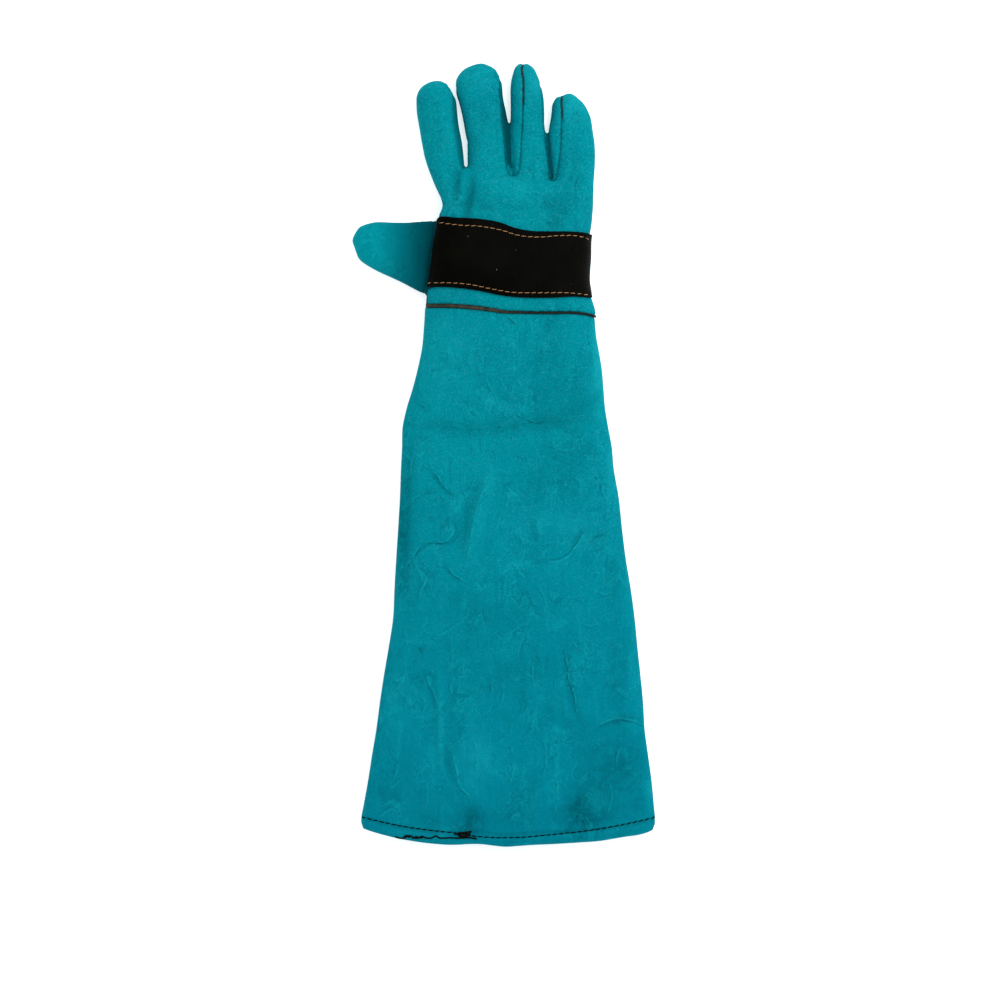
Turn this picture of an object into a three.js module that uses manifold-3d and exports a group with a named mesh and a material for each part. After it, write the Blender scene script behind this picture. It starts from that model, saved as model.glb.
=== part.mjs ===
import * as THREE from "three";
import { mergeVertices } from "three/addons/utils/BufferGeometryUtils.js";
import Module from "manifold-3d";

// A long suede glove for handling animals: a right hand with a sleeve, lying on its palm with its back up.
// Sizes are in millimetres. +X runs to the little finger's side, +Y from the hem to the fingertips, and +Z up.
// While it is modelled, x is 0 on the wrist's middle, y on the hem and z on the surface that the glove lies on.

const wasm = await Module();
wasm.setup();

// Leather and the clearances between pieces
const handThickness = 2;
const sleeveThickness = 1.5;
const bandThickness = 1.5;
const seamGap = 0.3;
const pressDepth = 1; // how much of a round underside is flattened on the surface

// Sleeve
const sleeveLength = 305;
const hemWidth = 166.5;
const hemDepth = 10;
const hemBowDepth = 9; // how far the hem's corners lie behind its middle
const sleeveHeight = 18;
const slantStarts = 0.82; // shares of the sleeve's length over which it takes up the wrist seam's slant
const slantEnds = 0.98;

// Wrist seam, where a black strip is sewn in between the hand and the sleeve
const wristWidth = 95.4;
const wristHeight = 24;
const wristSideHeight = 9.8; // height of the wrist's widest place
const wristDropHeight = 6.5; // the thumb's end of the seam lies this much further up than the other
const stripWidthLeft = 2.4;
const stripWidthRight = 1.5;
const stripHeight = 0.8;

// Hand
const palmLength = 77.5;
const palmHeight = 28;
const fingerLength = 79; // of the longest finger, from its root inside the palm
const knuckleRadius = 5;
const knuckleSquare = 3; // 2 rounds the palm's end as a circle does, and more squares it
const fingerSideHeight = 7.2; // height of the fingers' widest place
const seamOffset = 1; // a side seam lies this much under the widest place
const webDepth = 2.4; // the side strips reach this far into the palm between the fingers

// Black band across the back of the hand
const bandOffset = 8.6; // its lower edge lies this far above the wrist seam
const bandWidthLeft = 41; // its width at the thumb's side
const bandWidthRight = 36.5;

// Sleeve sections from the hem up. widen is 0 at the wrist's width and 1 at the hem's, side is a share of the
// hem's width, crown of the sleeve's height, edge the height of the side folds as a share of the sleeve's height.
const sleeveRows = [
  { up: 0, side: -0.007, widen: 1, crown: 1.04, edge: 0.3, bow: 1 },
  { up: 0.05, side: -0.008, widen: 1, crown: 1.0, edge: 0.28, bow: 0.95 },
  { up: 0.18, side: -0.001, widen: 0.86, crown: 0.95, edge: 0.28, bow: 0.6 },
  { up: 0.34, side: 0.007, widen: 0.68, crown: 1.0, edge: 0.28, bow: 0.2 },
  { up: 0.46, side: 0.011, widen: 0.56, crown: 1.04, edge: 0.3, bow: 0.05 },
  { up: 0.645, side: -0.003, widen: 0.4, crown: 1.0, edge: 0.32, bow: 0 },
  { up: 0.73, side: -0.01, widen: 0.33, crown: 0.94, edge: 0.33, bow: 0 },
  { up: 0.776, side: -0.018, widen: 0.3, crown: 0.88, edge: 0.33, bow: 0 },
  { up: 0.85, side: -0.006, widen: 0.18, crown: 1.02, edge: 0.38, bow: 0 },
  { up: 0.925, side: 0, widen: 0.06, crown: 1.2, edge: 0.46, bow: 0 },
  { up: 1, side: 0, widen: 0, crown: wristHeight / sleeveHeight, edge: wristSideHeight / sleeveHeight, bow: 0 },
];

// Palm sections from the wrist seam up. side and half are shares of the wrist's width, top of the palm's height,
// left and right are the heights of the widest place at each side, as shares of the palm's height.
const sideAtWrist = wristSideHeight / palmHeight;
const sideAtFingers = fingerSideHeight / palmHeight;
const palmRows = [
  { up: 0, side: 0, half: 0.5, top: wristHeight / palmHeight, left: sideAtWrist, right: sideAtWrist },
  { up: 0.08, side: -0.008, half: 0.483, top: 0.9, left: 0.42, right: 0.35 },
  { up: 0.2, side: -0.01, half: 0.468, top: 0.96, left: 0.53, right: 0.37 },
  { up: 0.42, side: 0.008, half: 0.456, top: 1, left: 0.63, right: 0.39 },
  { up: 0.62, side: 0.022, half: 0.445, top: 0.94, left: 0.6, right: 0.38 },
  { up: 0.75, side: 0.045, half: 0.436, top: 0.84, left: 0.45, right: 0.35 },
  { up: 0.88, side: 0.028, half: 0.448, top: 0.7, left: 0.3, right: 0.29 },
  { up: 1, side: 0.014, half: 0.465, top: 0.6, left: sideAtFingers, right: sideAtFingers },
];

// Fingers and thumb. The root lies at a share of the wrist's width across from its middle, and at a share of the
// palm's length up from the wrist seam. heading is 0 along +Y and 90 along -X. reach and round are shares of the
// longest finger's length: how long this one is, and how much of it is rounded at its tip.
// In the rows, side and half are shares of the width, and the seams are shares of half the width from its middle.
const indexFinger = {
  across: -0.288,
  up: 0.787,
  heading: 0,
  reach: 0.867,
  width: 22.4,
  thickness: 16,
  round: 0.162,
  rows: [
    { up: 0, side: 0, half: 0.4, seamLeft: -1, seamRight: 0.78 },
    { up: 0.22, side: -0.29, half: 0.49, seamLeft: -1, seamRight: 0.78 },
    { up: 0.47, side: -0.48, half: 0.5, seamLeft: -1, seamRight: 0.8 },
    { up: 0.72, side: -0.62, half: 0.5, seamLeft: -1, seamRight: 0.88 },
    { up: 1, side: -0.63, half: 0.5, seamLeft: -1, seamRight: 0.78 },
  ],
};
const middleFinger = {
  across: -0.125,
  up: 0.8,
  heading: 0,
  reach: 0.981,
  width: 25.5,
  thickness: 17,
  round: 0.176,
  rows: [
    { up: 0, side: 0, half: 0.455, seamLeft: -0.93, seamRight: 0.82 },
    { up: 0.3, side: -0.005, half: 0.466, seamLeft: -0.93, seamRight: 0.83 },
    { up: 0.51, side: -0.056, half: 0.478, seamLeft: -0.93, seamRight: 0.82 },
    { up: 0.73, side: -0.178, half: 0.5, seamLeft: -0.93, seamRight: 0.9 },
    { up: 0.84, side: -0.215, half: 0.51, seamLeft: -0.93, seamRight: 0.92 },
    { up: 1, side: -0.2, half: 0.51, seamLeft: -0.85, seamRight: 0.82 },
  ],
};
const ringFinger = {
  across: 0.12,
  up: 0.787,
  heading: 0,
  reach: 1,
  width: 20.5,
  thickness: 16,
  round: 0.23,
  rows: [
    { up: 0, side: 0, half: 0.485, seamLeft: -0.7, seamRight: 0.93 },
    { up: 0.3, side: 0, half: 0.495, seamLeft: -0.6, seamRight: 0.93 },
    { up: 0.52, side: -0.07, half: 0.488, seamLeft: -0.35, seamRight: 0.93 },
    { up: 0.73, side: -0.09, half: 0.452, seamLeft: -0.22, seamRight: 0.93 },
    { up: 0.88, side: -0.13, half: 0.445, seamLeft: -0.24, seamRight: 0.9 },
    { up: 1, side: -0.17, half: 0.44, seamLeft: -0.12, seamRight: 0.85 },
  ],
};
const littleFinger = {
  across: 0.369,
  up: 0.761,
  heading: 0,
  reach: 0.804,
  width: 25.8,
  thickness: 15.5,
  round: 0.258,
  rows: [
    { up: 0, side: -0.01, half: 0.38, seamLeft: -0.86, seamRight: 1 },
    { up: 0.25, side: 0.01, half: 0.458, seamLeft: -0.84, seamRight: 1 },
    { up: 0.45, side: 0, half: 0.487, seamLeft: -0.63, seamRight: 1 },
    { up: 0.68, side: -0.033, half: 0.495, seamLeft: -0.43, seamRight: 1 },
    { up: 1, side: -0.088, half: 0.49, seamLeft: -0.26, seamRight: 1 },
  ],
};
const thumb = {
  across: -0.345,
  up: 0.348,
  heading: 90,
  reach: 0.711,
  width: 42,
  thickness: 16,
  round: 0.123,
  rows: [
    { up: 0, side: 0, half: 0.49 },
    { up: 0.24, side: 0.04, half: 0.5 },
    { up: 0.475, side: 0.108, half: 0.404 },
    { up: 0.63, side: 0.156, half: 0.352 },
    { up: 0.83, side: 0.22, half: 0.295 },
    { up: 1, side: 0.28, half: 0.27 },
  ],
};

// Dents and ridges in the sheets that face up. x and up are shares of the half width and of the length of the
// hand or sleeve, turn is the fold's angle from +X in degrees, and long and wide are shares of the hem's or the
// wrist's width. sunk is a share of the sleeve's or palm's height, and a ridge's is below 0.
const sleeveFolds = [
  { x: 0, up: 0.78, turn: 0, long: 0.375, wide: 0.036, sunk: 0.1 },
  { x: 0.02, up: 0.86, turn: 6, long: 0.23, wide: 0.054, sunk: -0.067 },
  { x: -0.86, up: 0.58, turn: 92, long: 0.18, wide: 0.042, sunk: 0.11 },
  { x: -0.4, up: 0.57, turn: 105, long: 0.18, wide: 0.048, sunk: -0.09 },
  { x: -0.25, up: 0.55, turn: 105, long: 0.157, wide: 0.042, sunk: 0.067 },
  { x: 0.45, up: 0.47, turn: 30, long: 0.145, wide: 0.048, sunk: 0.067 },
  { x: 0.42, up: 0.3, turn: 101, long: 0.18, wide: 0.042, sunk: 0.09 },
  { x: 0.84, up: 0.235, turn: 2, long: 0.12, wide: 0.03, sunk: 0.1 },
  { x: -0.52, up: 0.2, turn: 92, long: 0.205, wide: 0.042, sunk: -0.09 },
  { x: -0.38, up: 0.19, turn: 88, long: 0.205, wide: 0.042, sunk: 0.09 },
  { x: -0.27, up: 0.08, turn: 110, long: 0.073, wide: 0.054, sunk: 0.08 },
  { x: 0.48, up: 0.07, turn: 90, long: 0.085, wide: 0.042, sunk: 0.08 },
];
const palmFolds = [
  { x: -0.5, up: 0.75, turn: 86, long: 0.157, wide: 0.052, sunk: 0.064 },
  { x: -0.36, up: 0.85, turn: 96, long: 0.094, wide: 0.052, sunk: -0.029 },
  { x: 0.5, up: 0.78, turn: 84, long: 0.168, wide: 0.084, sunk: 0.036 },
];

// How full a section is: 2 gives an ellipse, and more squares it, at its shoulders above the widest place and at
// its heels below. topShare of its facets is on each side of its top, and spread evens out their widths there.
const sleeveShape = { shoulder: 2.3, heel: 2.6, spread: 0.5, topShare: 0.3 };
const palmShape = { shoulder: 2.4, heel: 3, spread: 0.4, topShare: 0.3 };
const fingerShape = { shoulder: 2.2, heel: 2.6, spread: 0, topShare: 0.25 };

// Facets: steps around a section and along each piece
const sleeveSides = 30;
const palmSides = 26;
const fingerSides = 14;
const insideSides = 0.75; // the hand's hollow has this share of the steps of its outside
const sleeveSteps = 20;
const palmSteps = 8;
const fingerSteps = 5;
const tipSteps = 3;
const planSteps = 8;
const tipEnd = 0.97; // the last section before a rounded end closes, as a share of the quarter turn

const overshoot = 6; // what cuts an open end reaches this far past it
const far = sleeveLength + palmLength + fingerLength; // outside the glove on every side
const seamReach = 0.125; // the side seams' heights are carried in from the sides to this share of the wrist's width
const weld = 1e-4; // corners this close are one

const suede = new THREE.MeshStandardMaterial({ color: 0x07899a, roughness: 0.95, metalness: 0 });
const blackLeather = new THREE.MeshStandardMaterial({ color: 0x0e0e0c, roughness: 0.5, metalness: 0 });
const darkStrip = new THREE.MeshStandardMaterial({ color: 0x2b372f, roughness: 0.8, metalness: 0 });

const glove = new THREE.Group();

function solidOf(geometry) {
  geometry.deleteAttribute("normal");
  geometry.deleteAttribute("uv");
  const merged = mergeVertices(geometry, weld);
  return new wasm.Manifold(
    new wasm.Mesh({
      numProp: 3,
      vertProperties: merged.attributes.position.array,
      triVerts: new Uint32Array(merged.index.array),
    }),
  );
}

function addPiece(name, solid, material) {
  const mesh = solid.getMesh();
  const geometry = new THREE.BufferGeometry();
  geometry.setAttribute("position", new THREE.BufferAttribute(mesh.vertProperties, 3));
  geometry.setIndex(new THREE.BufferAttribute(mesh.triVerts, 1));
  geometry.computeVertexNormals();
  const piece = new THREE.Mesh(geometry, material);
  piece.name = name;
  glove.add(piece);
}

function largestBody(solid) {
  return solid.decompose().reduce((most, body) => (body.volume() > most.volume() ? body : most));
}

// A smooth reading of a table at any place between its first and last rows.
function tableReader(rows) {
  const columns = Object.keys(rows[0]).filter((column) => column !== "up");
  const places = rows.map((row) => row.up);
  const values = rows.flatMap((row) => columns.map((column) => row[column]));
  const curve = new THREE.CubicInterpolant(places, values, columns.length);
  return (up) => {
    const read = curve.evaluate(THREE.MathUtils.clamp(up, 0, 1));
    return Object.fromEntries(columns.map((column, i) => [column, read[i]]));
  };
}

// How far the wrist seam lies up or down from its middle at a place x across: it falls in an S.
function slant(x) {
  return wristDropHeight * (0.5 - THREE.MathUtils.smoothstep(x / wristWidth, -0.3, 0.15));
}

// The depth of all folds at a place in the hand or sleeve. base has its first y, its length, its half width there,
// the width that the folds are shares of, and its height.
function foldDepth(folds, x, y, base) {
  return folds.reduce((sum, fold) => {
    const turn = THREE.MathUtils.degToRad(fold.turn);
    const dx = x - fold.x * base.half;
    const dy = y - base.y - fold.up * base.length;
    const along = (dx * Math.cos(turn) + dy * Math.sin(turn)) / (fold.long * base.width);
    const across = (dy * Math.cos(turn) - dx * Math.sin(turn)) / (fold.wide * base.width);
    return sum + fold.sunk * base.height * Math.exp(-along * along - across * across);
  }, 0);
}

// A point of a section's outline, as its place across, from -1 to 1, its distance from the middle line and its
// height. turn runs round the outline from -0.5 to 0.5, with 0 on the top. grow moves the outline out, or in if it
// is below 0, and flatness is 1 where a section is whole and 0 where a rounded end has closed.
function outlinePoint(section, turn, grow) {
  const share = Math.abs(turn) / section.topShare;
  const above = share <= 1 + weld;
  const angle = (above ? share : 1 - (Math.abs(turn) - section.topShare) / (0.5 - section.topShare)) * (Math.PI / 2);
  const evened = above ? THREE.MathUtils.lerp(Math.sin(angle), share, section.spread) : Math.sin(angle);
  const across = Math.sign(turn) * Math.min(1, evened);
  const power = above ? section.shoulder : section.heel;
  const bulge = Math.pow(1 - Math.pow(Math.abs(across), power), 1 / power);
  const side = THREE.MathUtils.lerp(section.left, section.right, (across + 1) / 2);
  const top = side + (section.top + grow - side) * bulge;
  const bottom = Math.max(side - (side + pressDepth + grow) * bulge, Math.max(0, -grow));
  const z = THREE.MathUtils.lerp(side, above ? top : bottom, section.closing);
  return { across, x: across * (section.half + grow) * section.narrow, z, rise: above ? bulge : 0 };
}

// A closed solid through the sections. place turns a section's outline point into a point of the glove.
function loft(sections, sides, grow, place) {
  const levels = sections.length - 1;
  const geometry = new THREE.CylinderGeometry(1, 1, 1, sides, levels);
  const position = geometry.getAttribute("position");
  for (let i = 0; i < position.count; i++) {
    const [x, y, z] = [position.getX(i), position.getY(i), position.getZ(i)];
    const section = sections[Math.round((y + 0.5) * levels)];
    const onRim = Math.hypot(x, z) > 0.5;
    const middle = { across: 0, x: 0, z: (section.left + section.right) / 2, rise: 0 };
    const point = onRim ? outlinePoint(section, Math.atan2(x, z) / (2 * Math.PI), grow) : middle;
    position.setXYZ(i, ...place(section, point));
  }
  return solidOf(geometry);
}

// An even number of steps, so that a vertex lies on the top and one underneath.
function sidesFor(sides, grow) {
  return grow < 0 ? 2 * Math.round((sides * insideSides) / 2) : sides;
}

function evenSteps(from, to, steps) {
  return Array.from({ length: steps + 1 }, (_, i) => THREE.MathUtils.lerp(from, to, i / steps));
}

const readSleeve = tableReader(sleeveRows);
const readPalm = tableReader(palmRows);

function sleeveSection(y) {
  const row = readSleeve(y / sleeveLength);
  return {
    ...sleeveShape,
    y,
    middle: row.side * hemWidth,
    half: (wristWidth + (hemWidth - wristWidth) * row.widen) / 2,
    top: row.crown * sleeveHeight,
    left: row.edge * sleeveHeight,
    right: row.edge * sleeveHeight,
    bow: row.bow * hemBowDepth,
    slanted: THREE.MathUtils.smoothstep(y / sleeveLength, slantStarts, slantEnds),
    closing: 1,
    narrow: 1,
  };
}

function placeOnSleeve(section, point) {
  const x = section.middle + point.x;
  const y = section.y + section.bow * point.across ** 2 + section.slanted * slant(x);
  const base = { y: 0, length: sleeveLength, half: section.half, width: hemWidth, height: sleeveHeight };
  return [x, y, point.z - foldDepth(sleeveFolds, x, y, base) * point.rise ** 2];
}

// from and to are distances from the hem; a place outside the sleeve repeats its end section.
function sleeveBody(from, to, steps, grow) {
  const sections = evenSteps(from, to, steps).map(sleeveSection);
  return loft(sections, sleeveSides, grow, placeOnSleeve);
}

function palmSection(up, closing) {
  const row = readPalm(up / palmLength);
  return {
    ...palmShape,
    y: sleeveLength + up,
    middle: row.side * wristWidth,
    half: row.half * wristWidth,
    top: row.top * palmHeight,
    left: row.left * palmHeight,
    right: row.right * palmHeight,
    closing,
    narrow: 1,
  };
}

function placeOnPalm(section, point) {
  const x = section.middle + point.x;
  const y = section.y + slant(x);
  const base = { y: sleeveLength, length: palmLength, half: section.half, width: wristWidth, height: palmHeight };
  return [x, y, point.z - foldDepth(palmFolds, x, y, base) * point.rise ** 2 * section.closing];
}

function palmBody(from, grow) {
  const straight = evenSteps(from, palmLength - knuckleRadius, palmSteps).map((up) => palmSection(up, 1));
  const rounded = evenSteps(0, tipEnd, tipSteps - 1).slice(1).map((share) => {
    const rounding = Math.sin((share * Math.PI) / 2);
    const closing = Math.pow(1 - Math.pow(rounding, knuckleSquare), 1 / knuckleSquare);
    return palmSection(palmLength - knuckleRadius + (knuckleRadius + grow) * rounding, closing);
  });
  return loft([...straight, ...rounded], sidesFor(palmSides, grow), grow, placeOnPalm);
}

function fingerSection(finger, along, closing) {
  const row = tableReader(finger.rows)(along / lengthOf(finger));
  return {
    ...fingerShape,
    along,
    middle: row.side * finger.width,
    half: row.half * finger.width,
    top: finger.thickness,
    left: fingerSideHeight,
    right: fingerSideHeight,
    closing,
    narrow: closing,
  };
}

function lengthOf(finger) {
  return finger.reach * fingerLength;
}

function rootOf(finger) {
  return new THREE.Vector2(finger.across * wristWidth, sleeveLength + finger.up * palmLength);
}

function fingerBody(finger, grow) {
  const turn = THREE.MathUtils.degToRad(finger.heading);
  const root = rootOf(finger);
  const rounding = finger.round * fingerLength;
  const roundedFrom = lengthOf(finger) - rounding;
  const straight = evenSteps(0, roundedFrom, fingerSteps).map((along) => fingerSection(finger, along, 1));
  const rounded = evenSteps(0, tipEnd, tipSteps).slice(1).map((share) => {
    const angle = (share * Math.PI) / 2;
    return fingerSection(finger, roundedFrom + (rounding + grow) * Math.sin(angle), Math.cos(angle));
  });
  return loft([...straight, ...rounded], sidesFor(fingerSides, grow), grow, (section, point) => {
    const place = new THREE.Vector2(section.middle + point.x, section.along).rotateAround(new THREE.Vector2(), turn);
    return [root.x + place.x, root.y + place.y, point.z];
  });
}

// All that lies over a pair of side seams. seams lists places along the glove, with the seam's height at each
// side. It is level from each side to the glove's middle, where it crosses no leather.
function spaceAbove(seams, shift) {
  const geometry = new THREE.BoxGeometry(3, 1, 1, 3, seams.length - 1, 1);
  const position = geometry.getAttribute("position");
  for (let i = 0; i < position.count; i++) {
    const [x, y, z] = [position.getX(i), position.getY(i), position.getZ(i)];
    const seam = seams[Math.round((y + 0.5) * (seams.length - 1))];
    const height = (x < 0 ? seam.left : seam.right) + shift;
    const reach = Math.abs(x) > 1 ? far : seamReach * wristWidth;
    position.setXYZ(i, Math.sign(x) * reach, seam.y, z < 0 ? height : far);
  }
  return solidOf(geometry);
}

// Splits a solid at its side seams, and gives the part above them and the part below.
function partAt(solid, seams) {
  return [solid.intersect(spaceAbove(seams, seamGap / 2)), solid.subtract(spaceAbove(seams, -seamGap / 2))];
}

function prism(points) {
  const shape = new THREE.Shape(points.map(([x, y]) => new THREE.Vector2(x, y)));
  const geometry = new THREE.ExtrudeGeometry(shape, { depth: far, bevelEnabled: false });
  return solidOf(geometry.translate(0, 0, -far / 2));
}

const fingers = [indexFinger, middleFinger, ringFinger, littleFinger];

function handOuter(grow) {
  return fingers.reduce((whole, finger) => whole.add(fingerBody(finger, grow)), palmBody(0, grow));
}

function handInner() {
  const palm = palmBody(-overshoot, -handThickness);
  return [...fingers, thumb].reduce((whole, finger) => whole.add(fingerBody(finger, -handThickness)), palm);
}

// A size at a place x across the wrist, from its values at the left and right side.
function acrossWrist(x, left, right) {
  return THREE.MathUtils.mapLinear(x, -wristWidth / 2, wristWidth / 2, left, right);
}

// A plan that follows the wrist seam across the glove, from one distance up from the seam to another. Each
// distance is a function of x.
function seamPlan(from, to) {
  const edge = (distance, ends) =>
    evenSteps(...ends, planSteps).map((x) => [x, sleeveLength + slant(x) + distance(x)]);
  return prism([...edge(from, [-wristWidth, wristWidth]), ...edge(to, [wristWidth, -wristWidth])]);
}

// The plan of the black strip in the wrist seam, wider by the margin on each side.
function stripPlan(margin) {
  const half = (x) => margin + acrossWrist(x, stripWidthLeft, stripWidthRight) / 2;
  return seamPlan((x) => -half(x), half);
}

function sideSeam(section) {
  return { y: section.y, left: section.left - seamOffset, right: section.right - seamOffset };
}

function levelSeam(y) {
  return { y, left: fingerSideHeight - seamOffset, right: fingerSideHeight - seamOffset };
}

function sleevePieces() {
  const hollow = sleeveBody(hemDepth, sleeveLength + overshoot, sleeveSteps, -sleeveThickness);
  const mouth = sleeveBody(-overshoot, hemDepth + 1, 2, -2 * sleeveThickness);
  const shell = sleeveBody(0, sleeveLength, sleeveSteps, 0).subtract(hollow).subtract(mouth);
  const trimmed = shell.subtract(stripPlan(seamGap));
  const stations = evenSteps(-overshoot, sleeveLength + overshoot, sleeveSteps);
  return partAt(trimmed, stations.map((y) => sideSeam(sleeveSection(y))));
}

// Along the palm the side seams follow its widest place, and along the fingers they are level.
function handSeams() {
  const stations = evenSteps(-overshoot, palmLength, palmSteps + 2).map((up) => sideSeam(palmSection(up, 1)));
  return [...stations, levelSeam(sleeveLength + palmLength + far)];
}

// The plan of a side strip between two fingers: up one finger's seam, over the tips, and down the other's.
function webPlan(leftFinger, rightFinger, margin) {
  const middleX = (rootOf(leftFinger).x + rootOf(rightFinger).x) / 2;
  const startY = sleeveLength + palmLength + slant(middleX) - webDepth - margin;
  const line = (finger, column, shift) => {
    const root = rootOf(finger);
    const read = tableReader(finger.rows);
    const points = evenSteps((startY - root.y) / lengthOf(finger), 1, planSteps).map((share) => {
      const row = read(share);
      const across = (row.side + row.half * row[column]) * finger.width;
      return [root.x + across + shift, root.y + share * lengthOf(finger)];
    });
    return [...points, [points.at(-1)[0], sleeveLength + far]];
  };
  return prism([...line(leftFinger, "seamRight", -margin).reverse(), ...line(rightFinger, "seamLeft", margin)]);
}

function handPieces() {
  const shell = handOuter(0).subtract(handInner()).subtract(stripPlan(seamGap));
  const [above, below] = partAt(shell, handSeams());
  addPiece("palm_panel", largestBody(below), suede);
  const webs = [
    ["side_strip_index_middle", indexFinger, middleFinger],
    ["side_strip_middle_ring", middleFinger, ringFinger],
    ["side_strip_ring_little", ringFinger, littleFinger],
  ];
  let back = above;
  for (const [name, leftFinger, rightFinger] of webs) {
    addPiece(name, largestBody(above.intersect(webPlan(leftFinger, rightFinger, -seamGap / 2))), suede);
    back = back.subtract(webPlan(leftFinger, rightFinger, seamGap / 2));
  }
  addPiece("back_panel", largestBody(back), suede);
}

function thumbPieces() {
  const underBand = bandSpace(2 * seamGap + bandThickness, seamGap);
  const shell = fingerBody(thumb, 0).subtract(handInner()).subtract(handOuter(seamGap)).subtract(underBand);
  const [above, below] = partAt(largestBody(shell), [levelSeam(0), levelSeam(sleeveLength + far)]);
  addPiece("thumb_back", largestBody(above), suede);
  addPiece("thumb_palm", largestBody(below), suede);
}

// All that the band covers over the palm, out to a distance from the palm, wider by the margin on each side.
function bandSpace(distance, margin) {
  const plan = seamPlan(
    () => bandOffset - margin,
    (x) => bandOffset + acrossWrist(x, bandWidthLeft, bandWidthRight) + margin,
  );
  return palmBody(0, distance).intersect(plan).intersect(spaceAbove(handSeams(), seamGap / 2 - margin));
}

function knuckleBand() {
  return largestBody(bandSpace(seamGap + bandThickness, 0).subtract(palmBody(0, seamGap)));
}

function wristStrip() {
  return palmBody(-overshoot, stripHeight).subtract(palmBody(-2 * overshoot, -handThickness)).intersect(stripPlan(0));
}

const [sleeveBack, sleeveFront] = sleevePieces();
addPiece("sleeve_back", largestBody(sleeveBack), suede);
addPiece("sleeve_front", largestBody(sleeveFront), suede);
addPiece("wrist_strip", wristStrip(), darkStrip);
handPieces();
thumbPieces();
addPiece("knuckle_band", knuckleBand(), blackLeather);

// The origin is under the middle of the glove, on the surface that it lies on.
const box = new THREE.Box3().setFromObject(glove);
const middle = box.getCenter(new THREE.Vector3());
glove.children.forEach((piece) => piece.position.set(-middle.x, -middle.y, -box.min.z));

export default glove;
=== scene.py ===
import math
import random

import bmesh
import bpy
import numpy as np
from mathutils import Matrix, Vector, noise
from mathutils.bvhtree import BVHTree
from mathutils.kdtree import KDTree


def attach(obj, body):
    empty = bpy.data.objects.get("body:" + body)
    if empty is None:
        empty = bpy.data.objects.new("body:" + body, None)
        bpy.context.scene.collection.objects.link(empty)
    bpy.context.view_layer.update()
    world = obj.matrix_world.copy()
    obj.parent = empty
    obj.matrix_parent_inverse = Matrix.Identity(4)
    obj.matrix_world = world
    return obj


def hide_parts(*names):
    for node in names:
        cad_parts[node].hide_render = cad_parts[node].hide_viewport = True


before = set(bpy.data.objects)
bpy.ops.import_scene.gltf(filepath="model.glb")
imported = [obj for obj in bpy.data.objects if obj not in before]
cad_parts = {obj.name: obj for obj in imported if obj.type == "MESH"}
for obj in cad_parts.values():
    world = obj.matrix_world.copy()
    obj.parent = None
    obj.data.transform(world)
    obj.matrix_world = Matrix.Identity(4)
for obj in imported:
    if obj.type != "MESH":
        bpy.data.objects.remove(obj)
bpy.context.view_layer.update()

# A long suede glove for handling animals, lying on its palm with its back up.
# Shapes are worked out in millimetres, with x 0 on the wrist's middle, y 0 on the hem and z 0 on the floor,
# and each finished mesh is then moved to the frame of the CAD model, in metres.

random.seed(11)

place = {"middleX": 3.5, "middleY": -222.5, "scale": 0.001}


def newObject(name, bm):
    mesh = bpy.data.meshes.new(name)
    bm.to_mesh(mesh)
    bm.free()
    piece = bpy.data.objects.new(name, mesh)
    bpy.context.scene.collection.objects.link(piece)
    return piece


def readPoints(piece):
    points = np.zeros(len(piece.data.vertices) * 3)
    piece.data.vertices.foreach_get("co", points)
    return points.reshape(-1, 3)


def setPoints(piece, points):
    piece.data.vertices.foreach_set("co", np.ascontiguousarray(points).ravel())
    piece.data.update()


def readNormals(piece):
    normals = np.zeros(len(piece.data.vertices) * 3)
    piece.data.vertices.foreach_get("normal", normals)
    return normals.reshape(-1, 3)


def applyModifiers(piece):
    seen = piece.evaluated_get(bpy.context.evaluated_depsgraph_get())
    mesh = bpy.data.meshes.new_from_object(seen)
    piece.modifiers.clear()
    old, piece.data = piece.data, mesh
    bpy.data.meshes.remove(old)


def addModifier(piece, kind, **settings):
    modifier = piece.modifiers.new(kind.title(), kind)
    for name, value in settings.items():
        setattr(modifier, name, value)
    return modifier


def setAttribute(piece, name, values):
    attribute = piece.data.attributes.get(name) or piece.data.attributes.new(name, "FLOAT", "POINT")
    attribute.data.foreach_set("value", values.astype(np.float32))


# positions is an array of rows x columns x 3.
def gridSheet(name, positions, closed=False, merge=0.005):
    rows, columns = positions.shape[:2]
    bm = bmesh.new()
    bmesh.ops.create_grid(bm, x_segments=columns - 1, y_segments=rows - 1, size=1)
    bm.verts.ensure_lookup_table()
    for vertex in bm.verts:
        column = round((vertex.co.x + 1) / 2 * (columns - 1))
        row = round((vertex.co.y + 1) / 2 * (rows - 1))
        vertex.co = positions[row, column]
    if closed:
        bmesh.ops.remove_doubles(bm, verts=bm.verts, dist=merge)
        bmesh.ops.dissolve_degenerate(bm, edges=bm.edges, dist=merge)
        bmesh.ops.recalc_face_normals(bm, faces=bm.faces)
    return newObject(name, bm)


def finishPiece(piece, material, slot, *nodes):
    move = Matrix.Translation((place["middleX"], place["middleY"], 0))
    piece.data.transform(Matrix.Scale(place["scale"], 4) @ move)
    for polygon in piece.data.polygons:
        polygon.use_smooth = True
    piece.data.materials.clear()
    piece.data.materials.append(material)
    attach(piece, "root")
    if nodes:
        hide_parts(*nodes)


# A smooth curve through a table.
def smoothRead(places, values, at):
    places, values = np.asarray(places, float), np.asarray(values, float)
    slopes = np.gradient(values, places)
    at = np.clip(at, places[0], places[-1])
    i = np.clip(np.searchsorted(places, at, side="right") - 1, 0, len(places) - 2)
    span = places[i + 1] - places[i]
    t = (at - places[i]) / span
    return ((2 * t**3 - 3 * t**2 + 1) * values[i] + (t**3 - 2 * t**2 + t) * span * slopes[i]
            + (3 * t**2 - 2 * t**3) * values[i + 1] + (t**3 - t**2) * span * slopes[i + 1])


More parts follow.
